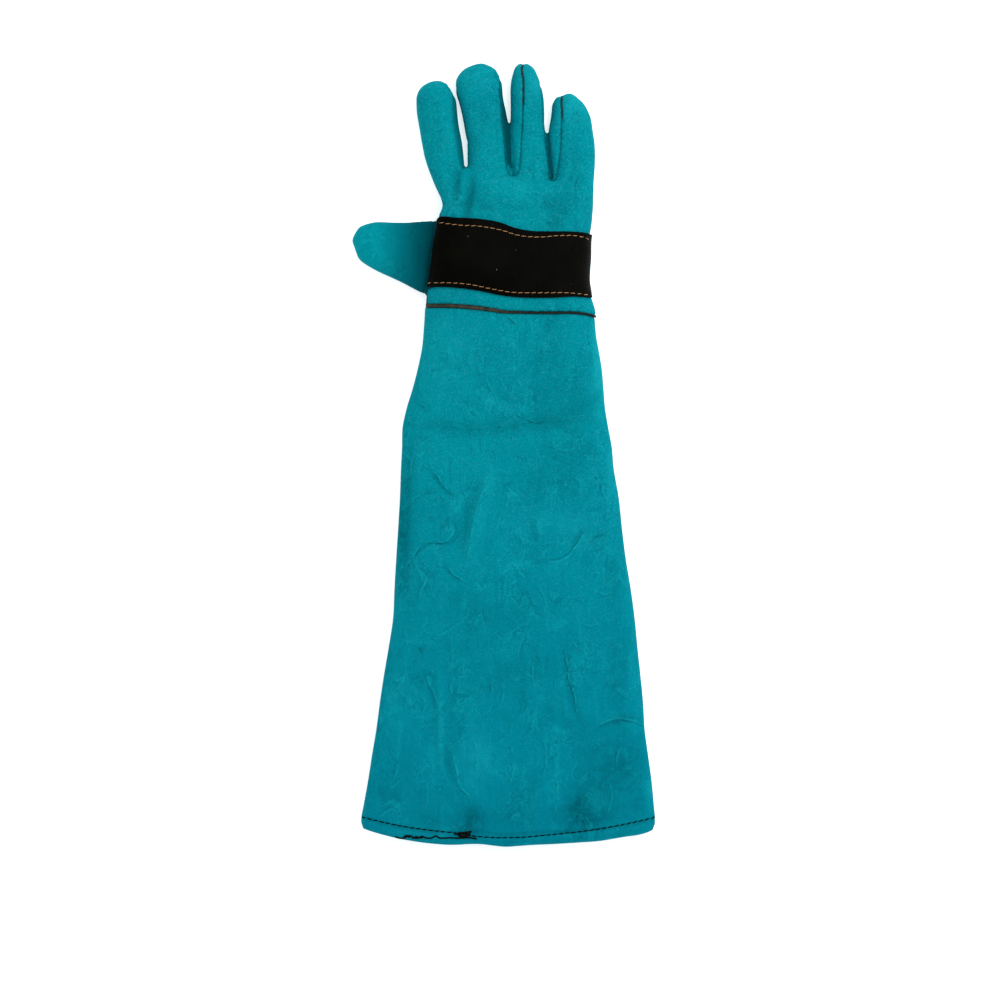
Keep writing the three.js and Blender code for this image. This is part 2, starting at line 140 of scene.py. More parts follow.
def smoothStep(value, low, high):
    t = np.clip((value - low) / (high - low), 0, 1)
    return t * t * (3 - 2 * t)


# Soft random heights, from about -1 to 1, with lumps of this size in mm.
def fractal(points, size, octaves=3, seed=0.0):
    shift = Vector((seed * 13.7, seed * 7.1, seed * 3.3))
    return np.array([noise.fractal(Vector(point) / size + shift, 1.0, 2.0, octaves) for point in points])


# Points at even distances along a polyline through the given points, smoothed.
def sampleLine(points, step):
    points = np.asarray(points, float)
    lengths = np.concatenate([[0], np.cumsum(np.linalg.norm(np.diff(points, axis=0), axis=1))])
    fine = np.linspace(0, lengths[-1], 400)
    curve = np.stack([smoothRead(lengths, points[:, k], fine) for k in range(points.shape[1])], axis=1)
    run = np.concatenate([[0], np.cumsum(np.linalg.norm(np.diff(curve, axis=0), axis=1))])
    count = max(2, int(round(run[-1] / step)) + 1)
    even = np.linspace(0, run[-1], count)
    return np.stack([np.interp(even, run, curve[:, k]) for k in range(points.shape[1])], axis=1)


# For the places near a line: how far off they are, with a sign for the side, and how far along it.
def gapToLine(line, x, y, reach):
    near = ((x > line[:, 0].min() - reach) & (x < line[:, 0].max() + reach)
            & (y > line[:, 1].min() - reach) & (y < line[:, 1].max() + reach))
    px, py = x[near], y[near]
    gaps = (px[:, None] - line[None, :, 0])**2 + (py[:, None] - line[None, :, 1])**2
    nearest = gaps.argmin(axis=1)
    gap = np.sqrt(gaps[np.arange(len(px)), nearest])
    ahead = np.gradient(line, axis=0)[nearest]
    side = np.sign(ahead[:, 0] * (py - line[nearest, 1]) - ahead[:, 1] * (px - line[nearest, 0]))
    return gap * np.where(side == 0, 1, side), nearest / max(len(line) - 1, 1), near


creaseShape = {"endTaper": 0.6, "lipPlace": 2.1, "lipHigh": 0.25}


# Depth of the soft creases over a sheet, and the painted shade in them. A crease is its line, its width, its
# depth, which is below 0 for a ridge, and how much painted shade it gets.
def creaseDepth(creases, x, y):
    depth, shade = np.zeros_like(x), np.zeros_like(x)
    for points, wide, deep, dark in creases:
        gap, along, near = gapToLine(sampleLine(points, 1.0), x, y, 4 * wide)
        gap = np.abs(gap)
        taper = np.sin(np.pi * np.clip(along, 0.02, 0.98)) ** creaseShape["endTaper"]
        fall = np.exp(-(gap / wide)**2) * taper
        lip = np.exp(-((gap - creaseShape["lipPlace"] * wide) / wide)**2) * taper * creaseShape["lipHigh"]
        depth[near] += deep * (fall - lip)
        shade[near] = np.maximum(shade[near], dark * fall)
    return depth, shade


# Soft clouds, partly where the nap lies another way and partly painted light and shade: rows of place, reach and
# how much darker (-) or lighter (+) it looks.
def cloudTone(clouds, x, y):
    tone = np.zeros_like(x)
    for middleX, middleY, wideX, wideY, strong in clouds:
        tone += strong * np.exp(-((x - middleX) / wideX)**2 - ((y - middleY) / wideY)**2)
    return tone


# Fine wrinkles are too sharp for the mesh. Each place keeps its distance in mm from the nearest one, which the
# material turns into a thin line of painted shade with a painted highlight beside it, and how strong that wrinkle is
# there.
def wrinkleFields(wrinkles, x, y):
    distance, strength = np.full_like(x, 9.0), np.zeros_like(x)
    for points, strong in wrinkles:
        gap, along, near = gapToLine(sampleLine(points, 0.5), x, y, 6)
        closer = np.abs(gap) < np.abs(distance[near])
        spots = np.flatnonzero(near)[closer]
        distance[spots] = gap[closer]
        taper = np.sin(np.pi * np.clip(along[closer], 0.01, 0.99)) ** 0.5
        strength[spots] = strong * taper * (1 - smoothStep(np.abs(gap[closer]), 1.6, 3.2))
    return distance, strength


wrist = {
    "y": 305, "width": 95.4, "drop": 6.5, "clear": 0.4,  # clear is what the two sides stay off the seam's line
    # where the seam with the sleeve runs, by the place across
    "line": [(-48, 306.4), (-34.3, 306.2), (-23, 305.4), (-11.6, 304), (-5, 302.9), (5.4, 302.4), (22.4, 302.1),
             (36.6, 302.2), (43, 301.6), (48, 300.4)],
}
leather = {"hand": 1.7, "sleeve": 1.35, "band": 1.5, "flattened": 1.0}


# The palm's cross sections and the band fall in an S from the thumb's side to the other.
def slant(x):
    return wrist["drop"] * (0.5 - smoothStep(np.asarray(x) / wrist["width"], -0.3, 0.15))


# Evenly spaced points of a section's outline. It runs from -2 to 2, with 0 on the top, -1 and 1 at the widest
# places and 2 underneath. Gives x, z, the share across, how far up the crown and the length along it.
def outline(section, start, end, count):
    s = np.linspace(start, end, 600)
    share = np.abs(s)
    above = share <= 1
    angle = np.where(above, share, 2 - share) * np.pi / 2
    evened = np.where(above, (1 - section["spread"]) * np.sin(angle) + section["spread"] * share, np.sin(angle))
    across = np.sign(s) * np.minimum(1, evened)
    power = np.where(above, section["shoulder"], section["heel"])
    bulge = (1 - np.abs(across)**power) ** (1 / power)
    side = section["left"] + (section["right"] - section["left"]) * (across + 1) / 2
    top = side + (section["top"] - side) * bulge
    low = np.maximum(side - (side + leather["flattened"]) * bulge, 0)
    z = side + (np.where(above, top, low) - side) * section.get("closing", 1)
    x = section["middle"] + across * section["half"]
    run = np.concatenate([[0], np.cumsum(np.hypot(np.diff(x), np.diff(z)))])
    even = np.linspace(0, run[-1], count)
    x, z, across, rise = (np.interp(even, run, values) for values in (x, z, across, np.where(above, bulge, 0)))
    return x, z, across, rise, even


def outwardNormals(x, z):
    dx, dz = np.gradient(x), np.gradient(z)
    length = np.maximum(np.hypot(dx, dz), 1e-9)
    return -dz / length, dx / length


palm = {
    "length": 77.5, "height": 28, "shoulder": 2.4, "heel": 3, "spread": 0.4, "round": 5, "square": 3,
    # the outline's places in mm from the wrist's middle, by the distance up from the wrist
    "left": [(0, -48), (4, -47.6), (8.5, -46.4), (15.5, -44.9), (32.5, -42.8), (44, -40.9), (50.5, -40.3),
             (52.8, -39.3), (55, -38.8), (57.3, -39.2), (61.8, -40.4), (66, -42), (71, -43), (77.5, -43)],
    "right": [(0, 48.6), (3, 48), (7, 46.8), (10.4, 45.6), (15.5, 44), (32.5, 44.3), (44, 44.7), (50, 46), (55, 46.5),
              (61.5, 47), (68, 47.3), (77.5, 47.6)],
    # heights of the crown and of the two side seams, as shares of the height
    "crown": [(0, 0.857), (6.2, 0.9), (15.5, 0.96), (32.5, 1), (48, 0.94), (58, 0.84), (68, 0.7), (77.5, 0.6)],
    "leftSeam": [(0, 0.35), (6.2, 0.42), (15.5, 0.53), (32.5, 0.63), (48, 0.6), (58, 0.45), (68, 0.3), (77.5, 0.257)],
    "rightSeam": [(0, 0.35), (6.2, 0.35), (15.5, 0.37), (32.5, 0.39), (48, 0.38), (58, 0.35), (68, 0.29),
                  (77.5, 0.257)],
}
fingerShape = {"shoulder": 2.2, "heel": 2.6, "spread": 0, "side": 7.2, "closingLong": 8.5}
fingers = {
    # rows of place along, one edge and the other edge; along is y for a finger and -x for the thumb
    "index": {
        "thick": 16,
        "rows": [
            (360, -37.5, -22), (367.8, -39.6, -23.5), (372.3, -41.8, -24.6), (376.9, -44, -25.2),
            (381.4, -45.8, -25.6), (386, -47.3, -26.1), (390.5, -48.7, -26.4), (395, -49.6, -26.9),
            (399.6, -50.5, -27.5), (404.1, -51.2, -28.4), (408.7, -52, -29.3), (413.2, -52.8, -29.9),
            (417.7, -53.3, -30.3), (422.3, -53.5, -30.8), (424.6, -53.5, -31.5), (426.8, -53, -32.6),
            (429.1, -51.8, -33.8), (431.4, -49.9, -35.1), (432.5, -48, -35.8), (433.6, -46, -37.3),
            (434.1, -44, -39.2), (434.4, -41.6, -41.6),
        ],
    },
    "middle": {
        "thick": 17,
        "rows": [
            (366, -23.5, -1.5), (376, -24, -0.5), (386, -24.4, 1), (390.5, -24.5, 0.9), (395, -24.4, 0.7),
            (399.6, -24.6, 0.4), (404.1, -25.5, 0), (408.7, -26.3, -0.8), (413.2, -27.1, -1.9), (417.7, -28.1, -2.7),
            (422.3, -29.3, -3.8), (426.8, -30.8, -4.4), (431.4, -31.3, -4.6), (433.6, -31.3, -5),
            (435.9, -30.4, -5.7), (438.2, -29, -7), (440.5, -26.8, -8.3), (441.6, -25.1, -9.7), (442.7, -22.5, -11.9),
            (443.3, -20.6, -13.3), (443.9, -18.2, -14.9), (444.2, -16.5, -16.5),
        ],
    },
    "ring": {
        "thick": 16,
        "rows": [
            (366, 1, 22.5), (376, 0.9, 23), (383.7, 0.9, 22.8), (389.4, 0.6, 22.1), (395, 0.1, 21.5),
            (401, -0.3, 20.5), (406.4, -0.4, 19.7), (411, 0, 19.3), (417.7, 0.1, 19.3), (424.6, 0, 18.9),
            (429.1, -0.1, 18.2), (433.6, 0.2, 16.8), (435.9, 0.6, 16), (438.2, 1.3, 15), (440.5, 1.9, 14),
            (441.6, 2.3, 13.1), (442.7, 3.3, 11.9), (443.3, 3.9, 10.9), (443.9, 4.6, 10.1), (444.5, 7.3, 7.3),
        ],
    },
    "little": {
        "thick": 15.5,
        "rows": [
            (364, 24, 45.5), (370, 23.6, 47.1), (376, 23.3, 47.5), (381.4, 22.9, 47.7), (386, 22.1, 48.1),
            (392.8, 21.4, 48.2), (399.6, 20.7, 47.9), (404.1, 21.4, 47.1), (408.7, 22, 46.5), (413.2, 22.8, 45.8),
            (417.7, 23.3, 43.8), (420, 23.4, 42.5), (422.3, 24.3, 40.8), (424.6, 25.6, 38), (425.7, 28, 36.8),
            (426.3, 30, 35.9), (426.9, 31.7, 35), (427.3, 33.4, 33.4),
        ],
    },
    "thumb": {
        "thick": 16, "thinRoot": 4.5, "sideways": True,
        "rows": [
            (33, 316, 349), (38, 312.5, 353), (42.3, 311, 355.4), (45.7, 311.5, 355.2), (49.1, 313, 354.9),
            (53.6, 315.3, 354.4), (58.2, 317.9, 353.9), (62.7, 320.2, 353.9), (67.3, 322.3, 353.9),
            (71.8, 324.2, 354.1), (76.3, 326.5, 354.1), (79.7, 328.4, 353.5), (82, 329.8, 352.8),
            (83.7, 330.9, 352.3), (85.4, 332.3, 351.5), (86.6, 334, 350.3), (87.7, 337.2, 348.6),
            (88.8, 340.2, 346.8), (89.4, 341.7, 345.3), (90, 343.5, 343.5),
        ],
    },
}
hand = {
    "voxel": 0.7,
    "soften": 6,
    "grooveDeep": 0.9,
    "grooveWide": 1.15,
    "stitchPitch": 3.4,
    "seamHeight": 6.2,
    "lumps": [(0.4, 26, 1.0), (0.16, 7, 2.0)],  # height and size in mm, and the pattern's number
    "thumb": {"rightmost": -44, "from": 4, "to": 56, "top": 17.2, "outside": 1.16},
    "creases": [
        ([(-22.4, 383), (-22.3, 374), (-23.6, 366), (-25.4, 357), (-26, 349)], 2.2, 1.6, 0.42),
        ([(-28.6, 384.4), (-30.6, 378), (-31.3, 371), (-31.5, 364)], 1.7, 1, 0.3),
        ([(-26, 382), (-27, 374), (-28, 366)], 2, -0.9, 0),
        ([(24, 372), (25, 358), (25.5, 345)], 5, 0.7, 0.1),
        ([(2, 374), (0, 362), (-1, 350)], 6, -0.5, 0),
        ([(40, 376), (41, 362), (40, 348)], 4, -0.5, 0),
        ([(-44, 395), (-39, 398), (-33, 397)], 3, 0.4, 0.05),
        ([(-20, 404), (-13, 406), (-6, 404)], 3, 0.35, 0.05),
    ],
    # clouds of tone, partly random and partly painted light and shade, such as bright ring and little tips, dark
    # finger sides
    "clouds": [
        (13.9, 432, 9, 12, 9), (36, 419, 9, 11, 12), (-17, 361, 28, 9, -6), (28, 364, 16, 11, -7),
        (-40, 366, 6, 10, -5), (-17, 436, 8, 8, 6), (-6, 412, 5, 18, -4), (0, 374, 12, 8, 4), (-70, 336, 10, 12, 3),
        (-16, 368, 7, 8, -7), (25, 354, 7, 7, -8), (-45, 405, 6, 18, -6), (36, 385, 6, 16, -6),
    ],
}
# the seams of the strips between the fingers: rows of y and x, where the strip's rounded end is and how round
webs = [
    {"bottom": 384.4, "round": 1.5,
     "left": [(384, -26.3), (387.1, -28), (395, -29.8), (403, -31.1), (411.5, -32.3), (422.3, -32.8), (428, -32.5),
              (429.6, -33.6), (434, -38)],
     "right": [(384, -25.1), (390.5, -24.7), (395, -24.6), (399.6, -24.6), (404, -25.2), (413.2, -26.8), (422.3, -29),
               (426.8, -30.5), (431.4, -31.2), (435.9, -30.8), (440.5, -29), (443.9, -25.5)]},
    {"bottom": 380.7, "round": 4,
     "left": [(380, -1.3), (383.7, -1.6), (389.4, -2.6), (395, -3), (400.7, -3.5), (411.5, -4.5), (423.4, -5.4),
              (426.5, -5.8), (434.8, -5.6), (438, -5.4), (442, -7)],
     "right": [(380, 4.6), (384.8, 4.7), (391.1, 5.4), (401.3, 6.2), (411.5, 6.7), (425.5, 7.2), (433.6, 7.4),
               (440.7, 6.3), (445, 7.3)]},
    {"bottom": 377.2, "round": 3.5,
     "left": [(376, 22.3), (381, 22.3), (386, 21.8), (392.8, 21.1), (399.6, 20.2), (406, 19.5), (411, 19),
              (422, 18.4), (431, 17.4), (438, 16.4), (443, 15)],
     "right": [(376, 25.4), (380.9, 26), (388, 27.4), (395, 28.1), (408.1, 28.8), (416.3, 29), (425.5, 29),
               (428, 30)]},
]


def readLine(table, at):
    places, values = zip(*table)
    return smoothRead(places, values, at)


def palmSection(up, closing=1):
    left, right = float(readLine(palm["left"], up)), float(readLine(palm["right"], up))
    return {
        **palm, "middle": (left + right) / 2, "half": (right - left) / 2, "closing": closing,
        "top": float(readLine(palm["crown"], up)) * palm["height"],
        "left": float(readLine(palm["leftSeam"], up)) * palm["height"],
        "right": float(readLine(palm["rightSeam"], up)) * palm["height"],
    }


def makePalm():
    stations = [(up, 1) for up in np.linspace(-9, palm["length"] - palm["round"], 76)]
    for share in np.linspace(0, 1, 9)[1:]:
        rounding = math.sin(share * math.pi / 2)
        closing = (1 - rounding ** palm["square"]) ** (1 / palm["square"])
        stations.append((palm["length"] - palm["round"] * (1 - rounding), closing))
    stations.insert(0, (-9.001, 0))
    grid = []
    for up, closing in stations:
        x, z, _, _, _ = outline(palmSection(max(up, 0), closing), -2, 2, 141)
        grid.append(np.stack([x, wrist["y"] + up + slant(x), z], axis=1))
    return gridSheet("palm form", np.array(grid), closed=True)


def makeFinger(finger):
    rows = np.array(finger["rows"], float)
    start, tip = rows[0, 0], rows[-1, 0]
    long = fingerShape["closingLong"]
    stations = np.concatenate([[start], np.arange(start + 0.01, tip - long, 1.5),
                               tip - long * (1 - np.sin(np.linspace(0, math.pi / 2, 22)))])
    grid = []
    for i, along in enumerate(stations):
        low, high = np.interp(along, rows[:, 0], rows[:, 1]), np.interp(along, rows[:, 0], rows[:, 2])
        nearTip = max(0.0, (along - tip + long) / long)
        closing = 0 if i == 0 else math.sqrt(max(0.0, 1 - nearTip ** 2))
        side, z, _, _, _ = outline({
            **fingerShape, "middle": (low + high) / 2, "half": max((high - low) / 2, 1e-4),
            "top": finger["thick"] - finger.get("thinRoot", 0) * (1 - float(smoothStep(along, 46, 58))),
            "left": fingerShape["side"], "right": fingerShape["side"], "closing": closing,
        }, -2, 2, 65)
        ahead = np.full_like(side, along)
        grid.append(np.stack([-ahead, side, z] if finger.get("sideways") else [side, ahead, z], axis=1))
    return gridSheet("finger form", np.array(grid), closed=True)


def joinForms(name, forms):
    bm = bmesh.new()
    for form in forms:
        bm.from_mesh(form.data)
        bpy.data.objects.remove(form)
    return newObject(name, bm)


# Height of the seam between the back and the palm panels on the hand's two sides.
def sideSeamHeight(x, y):
    up = np.clip((y - wrist["y"] - slant(x)), 0, palm["length"])
    left, right = readLine(palm["leftSeam"], up), readLine(palm["rightSeam"], up)
    return np.where(x < 0, left, right) * palm["height"] - 1


handPanels = ["cut away", "hand_palm", "hand_back", "strip_index_middle", "strip_middle_ring", "strip_ring_little",
              "thumb_under", "thumb_upper"]


def labelFaces(centers):
    x, y, z = centers.T
    labels = np.where(z > sideSeamHeight(x, y), 2, 1)
    for i, web in enumerate(webs):
        leftX, rightX = readLine(web["left"], y), readLine(web["right"], y)
        middle, half = (leftX + rightX) / 2, np.maximum((rightX - leftX) / 2, 0.1)
        bowl = web["bottom"] + web["round"] * (1 - np.sqrt(np.clip(1 - ((x - middle) / half)**2, 0, 1)))
        inside = (x > leftX) & (x < rightX) & (y > bowl) & (z > hand["seamHeight"])
        labels[inside] = 3 + i
    # the thumb is what stands outside the palm's own section on its left
    thumb = hand["thumb"]
    near = (x < thumb["rightmost"]) & (z < thumb["top"])
    near &= (y > wrist["y"] + thumb["from"]) & (y < wrist["y"] + thumb["to"])
    up = np.clip(y - wrist["y"] - slant(x), 0, palm["length"])
    left, right = readLine(palm["left"], up), readLine(palm["right"], up)
    side = readLine(palm["leftSeam"], up) * palm["height"]
    crown = readLine(palm["crown"], up) * palm["height"]
    across = np.abs(x - (left + right) / 2) / ((right - left) / 2)
    rise = np.abs(z - side) / np.where(z > side, crown - side, side + leather["flattened"])
    power = np.where(z > side, palm["shoulder"], palm["heel"])
    isThumb = near & (across**power + rise**power > thumb["outside"])
    labels[isThumb] = np.where(z[isThumb] > hand["seamHeight"], 7, 6)
    labels[y < readLine(wrist["line"], x) + wrist["clear"]] = 0
    return labels


def meshTables(piece):
    mesh = piece.data
    corners = np.zeros(len(mesh.loops), int)
    mesh.loops.foreach_get("vertex_index", corners)
    loopEdges = np.zeros(len(mesh.loops), int)
    mesh.loops.foreach_get("edge_index", loopEdges)
    totals = np.zeros(len(mesh.polygons), int)
    mesh.polygons.foreach_get("loop_total", totals)
    loopFaces = np.repeat(np.arange(len(totals)), totals)
    edges = np.zeros(len(mesh.edges) * 2, int)
    mesh.edges.foreach_get("vertices", edges)
    return corners, loopEdges, loopFaces, totals, edges.reshape(-1, 2)


# Gives each face the label that most of the faces around it have.
def tidyLabels(labels, corners, loopFaces, count):
    for _ in range(3):
        votes = np.zeros((count, len(handPanels)))
        np.add.at(votes, corners, np.eye(len(handPanels))[labels[loopFaces]])
        faceVotes = np.zeros((len(labels), len(handPanels)))
        np.add.at(faceVotes, loopFaces, votes[corners])
        faceVotes[np.arange(len(labels)), labels] += 2
        labels = faceVotes.argmax(axis=1)
    return labels


def relax(points, edges, moving, times, share=0.5):
    points = points.copy()
    ends = np.concatenate([edges, edges[:, ::-1]])
    for _ in range(times):
        total = np.zeros_like(points)
        count = np.zeros(len(points))
        np.add.at(total, ends[:, 0], points[ends[:, 1]])
        np.add.at(count, ends[:, 0], 1)
        ready = moving & (count > 0)
        points[ready] += share * (total[ready] / count[ready, None] - points[ready])
    return points


seamDark = {"plain": 0.42, "thread": 0.95, "faint": 0.15, "threads": [(7.1, 408), (29, 402)], "threadFade": 18,
            "threadWide": 3.5}


# How dark the seams are: thread in the groove and painted shade there. They are darkest where dark thread shows at
# the ring and little finger's ends, and faint between the first two, at the thumb and round the bottom of the strips.
def seamDarkness(x, y):
    dark = np.full_like(x, seamDark["plain"])
    for middleX, startY in seamDark["threads"]:
        shown = smoothStep(y, startY, startY + seamDark["threadFade"])
        dark = np.maximum(dark, seamDark["thread"] * shown * np.exp(-((x - middleX) / seamDark["threadWide"])**2))
    dark = np.where((x < -22.5) & (y > 370) | (x < -40) & (y < 359), seamDark["faint"], dark)
    return dark * np.where((np.abs(x - 1.6) < 5) & (y > 372), 0.35 + 0.65 * smoothStep(y, 382.5, 386), 1)


# where the fingers' facing sides meet, how much painted shade each side gets and how far it reaches to the right
valleys = [
    {"line": [(384, -25.6), (400, -25.6), (413, -28.5), (424, -30.9), (430, -32.4)], "crotch": (-26.6, 385),
     "left": 0.6, "right": 0.1, "reach": 2.6, "hole": 0.6},
    {"line": [(380, 0.6), (389, 0.3), (400, 0.1), (411, -0.4), (425, -2), (436, -3)], "crotch": (0.5, 385.4),
     "left": 0.95, "right": 0.75, "reach": 0.7, "hole": 0.95},
    {"line": [(377, 23.3), (386, 22), (395, 21.2), (404, 20.4), (411, 20.8), (425, 22.5)], "crotch": (23.6, 379.1),
     "left": 0.5, "right": 0.9, "reach": 2.2, "hole": 0.95},
]


# painted shadow where the thumb goes under the band: the shadow's right limit, which lies further back above the
# band's lower edge, its limits up the glove and off the floor, and how it fades out along the thumb
thumbShade = {"start": 46.3, "back": 10.3, "soft": 1.2, "backSoft": 4.8, "bandFrom": 314.5, "bandTo": 319,
              "up": (304.5, 309.5, 354, 361), "high": (18.5, 23), "along": (48, 80), "strong": 0.88}


# Painted shade between the fingers, and painted shadow of the hand where the thumb goes under the band.
def hollows(x, y, z):
    dark = np.zeros_like(x)
    for valley, web in zip(valleys, webs):
        leftX, rightX, lowX = readLine(web["left"], y), readLine(web["right"], y), readLine(valley["line"], y)
        crotchX, crotchY = valley["crotch"]
        onLeft = valley["left"] * smoothStep(x, leftX - 0.3, leftX + 0.8)
        onRight = valley["right"] * np.exp(-(np.maximum(x - lowX, 0) / valley["reach"])**2)
        above = smoothStep(y, crotchY - 0.8, crotchY + 1.6) * (1 - 0.5 * smoothStep(y, 415, 440))
        inside = (x > leftX - 0.3) & (x < rightX + 0.3) & (z > 3)
        deep = np.where(x < lowX, onLeft, onRight) * above * inside
        gap = ((x - crotchX) / 1.3)**2 + ((y - crotchY) / np.where(y < crotchY, 1.2, 4))**2
        dark = np.maximum(dark, np.maximum(deep, valley["hole"] * np.exp(-gap) * (z > 3)))
    look = thumbShade
    under = smoothStep(y, look["bandFrom"], look["bandTo"])
    start = look["start"] - look["back"] * under
    thumb = smoothStep(-x, start, start + look["soft"] + look["backSoft"] * under)
    thumb *= 1 - smoothStep(z, *look["high"])
    thumb *= smoothStep(y, *look["up"][:2]) * (1 - smoothStep(y, *look["up"][2:]))
    return np.maximum(dark, thumb * look["strong"] * (1 - smoothStep(-x, *look["along"])))


def makeHand():
    forms = [makePalm()] + [makeFinger(finger) for finger in fingers.values()]
    body = joinForms("hand form", forms)
    addModifier(body, "REMESH", mode="VOXEL", voxel_size=hand["voxel"], adaptivity=0)
    addModifier(body, "SMOOTH", factor=0.5, iterations=hand["soften"])
    applyModifiers(body)
    print("hand form:", len(body.data.polygons), "faces")

    corners, loopEdges, loopFaces, totals, edges = meshTables(body)
    points = readPoints(body)
    centers = np.zeros((len(totals), 3))
    np.add.at(centers, loopFaces, points[corners])
    labels = labelFaces(centers / totals[:, None])
    labels = tidyLabels(labels, corners, loopFaces, len(points))

    # the seams: edges between two panels, drawn into smooth lines along the surface
    low, high = np.full(len(edges), 99), np.full(len(edges), -1)
    np.minimum.at(low, loopEdges, labels[loopFaces])
    np.maximum.at(high, loopEdges, labels[loopFaces])
    seams = edges[low != high]
    onSeam = np.zeros(len(points), bool)
    onSeam[seams.ravel()] = True
    surface = surfaceOf(body)
    for _ in range(4):
        points = relax(points, seams, onSeam, 5)
        for k in np.flatnonzero(onSeam):
            points[k] = surface.find_nearest(Vector(points[k]))[0]
    points = relax(points, edges, ~onSeam, 3)
    points = relax(points, edges, onSeam, 1, 0.6)
    setPoints(body, points)

    # how far each place is from the nearest seam
    tree = KDTree(int(onSeam.sum()))
    for k in np.flatnonzero(onSeam):
        tree.insert(Vector(points[k]), int(k))
    tree.balance()
    gap = np.array([tree.find(Vector(point))[2] for point in points])
    normals = readNormals(body)
    x, y, z = points.T
    upFacing = smoothStep(normals[:, 2], 0.1, 0.6)
    depth, dark = creaseDepth(hand["creases"], x, y)
    pucker = 0.82 + 0.18 * np.cos(2 * np.pi * (y + 0.6 * x) / hand["stitchPitch"])
    faint = np.where((x < -22.5) & (y > 384) & (z > 6), 0.45, np.where((x < -40) & (y < 359) & (z > 8), 0.15, 1))
    groove = faint * hand["grooveDeep"] * np.exp(-(gap / hand["grooveWide"])**2) * pucker
    lumps = sum(high * fractal(points, size, 3, number) for high, size, number in hand["lumps"])
    inward = groove + depth * upFacing - lumps * (0.4 + 0.6 * upFacing)
    points = relax(points - normals * inward[:, None], edges, gap > 1.5, 1, 0.4)
    points[:, 2] = np.maximum(points[:, 2], 0.05)
    setPoints(body, points)
    setAttribute(body, "seam", np.minimum(gap, 6))
    setAttribute(body, "seamDark", seamDarkness(x, y))
    setAttribute(body, "tone", cloudTone(hand["clouds"], x, y) * upFacing)
    setAttribute(body, "grain", 1.0 - 0.76 * smoothStep(-x, 46, 50) * (y < 358))
    # painted shade in the creases and between the fingers, and painted shadow where the thumb goes under the band
    setAttribute(body, "shade", np.clip(np.maximum(dark * upFacing, hollows(x, y, z)), 0, 1))
    print("hand: seams and creases pressed in")

    whole = bmesh.new()
    whole.from_mesh(body.data)
    whole.faces.ensure_lookup_table()
    panels = {}
    for label, name in enumerate(handPanels[1:], 1):
        part = whole.copy()
        part.faces.ensure_lookup_table()
        gone = [part.faces[k] for k in np.flatnonzero(labels != label)]
        bmesh.ops.delete(part, geom=gone, context="FACES")
        panels[name] = newObject(name, part)
        addModifier(panels[name], "SOLIDIFY", thickness=leather["hand"], offset=-1, use_rim=True)
        applyModifiers(panels[name])
        print(name, len(panels[name].data.polygons), "faces")
    whole.free()
    return body, panels


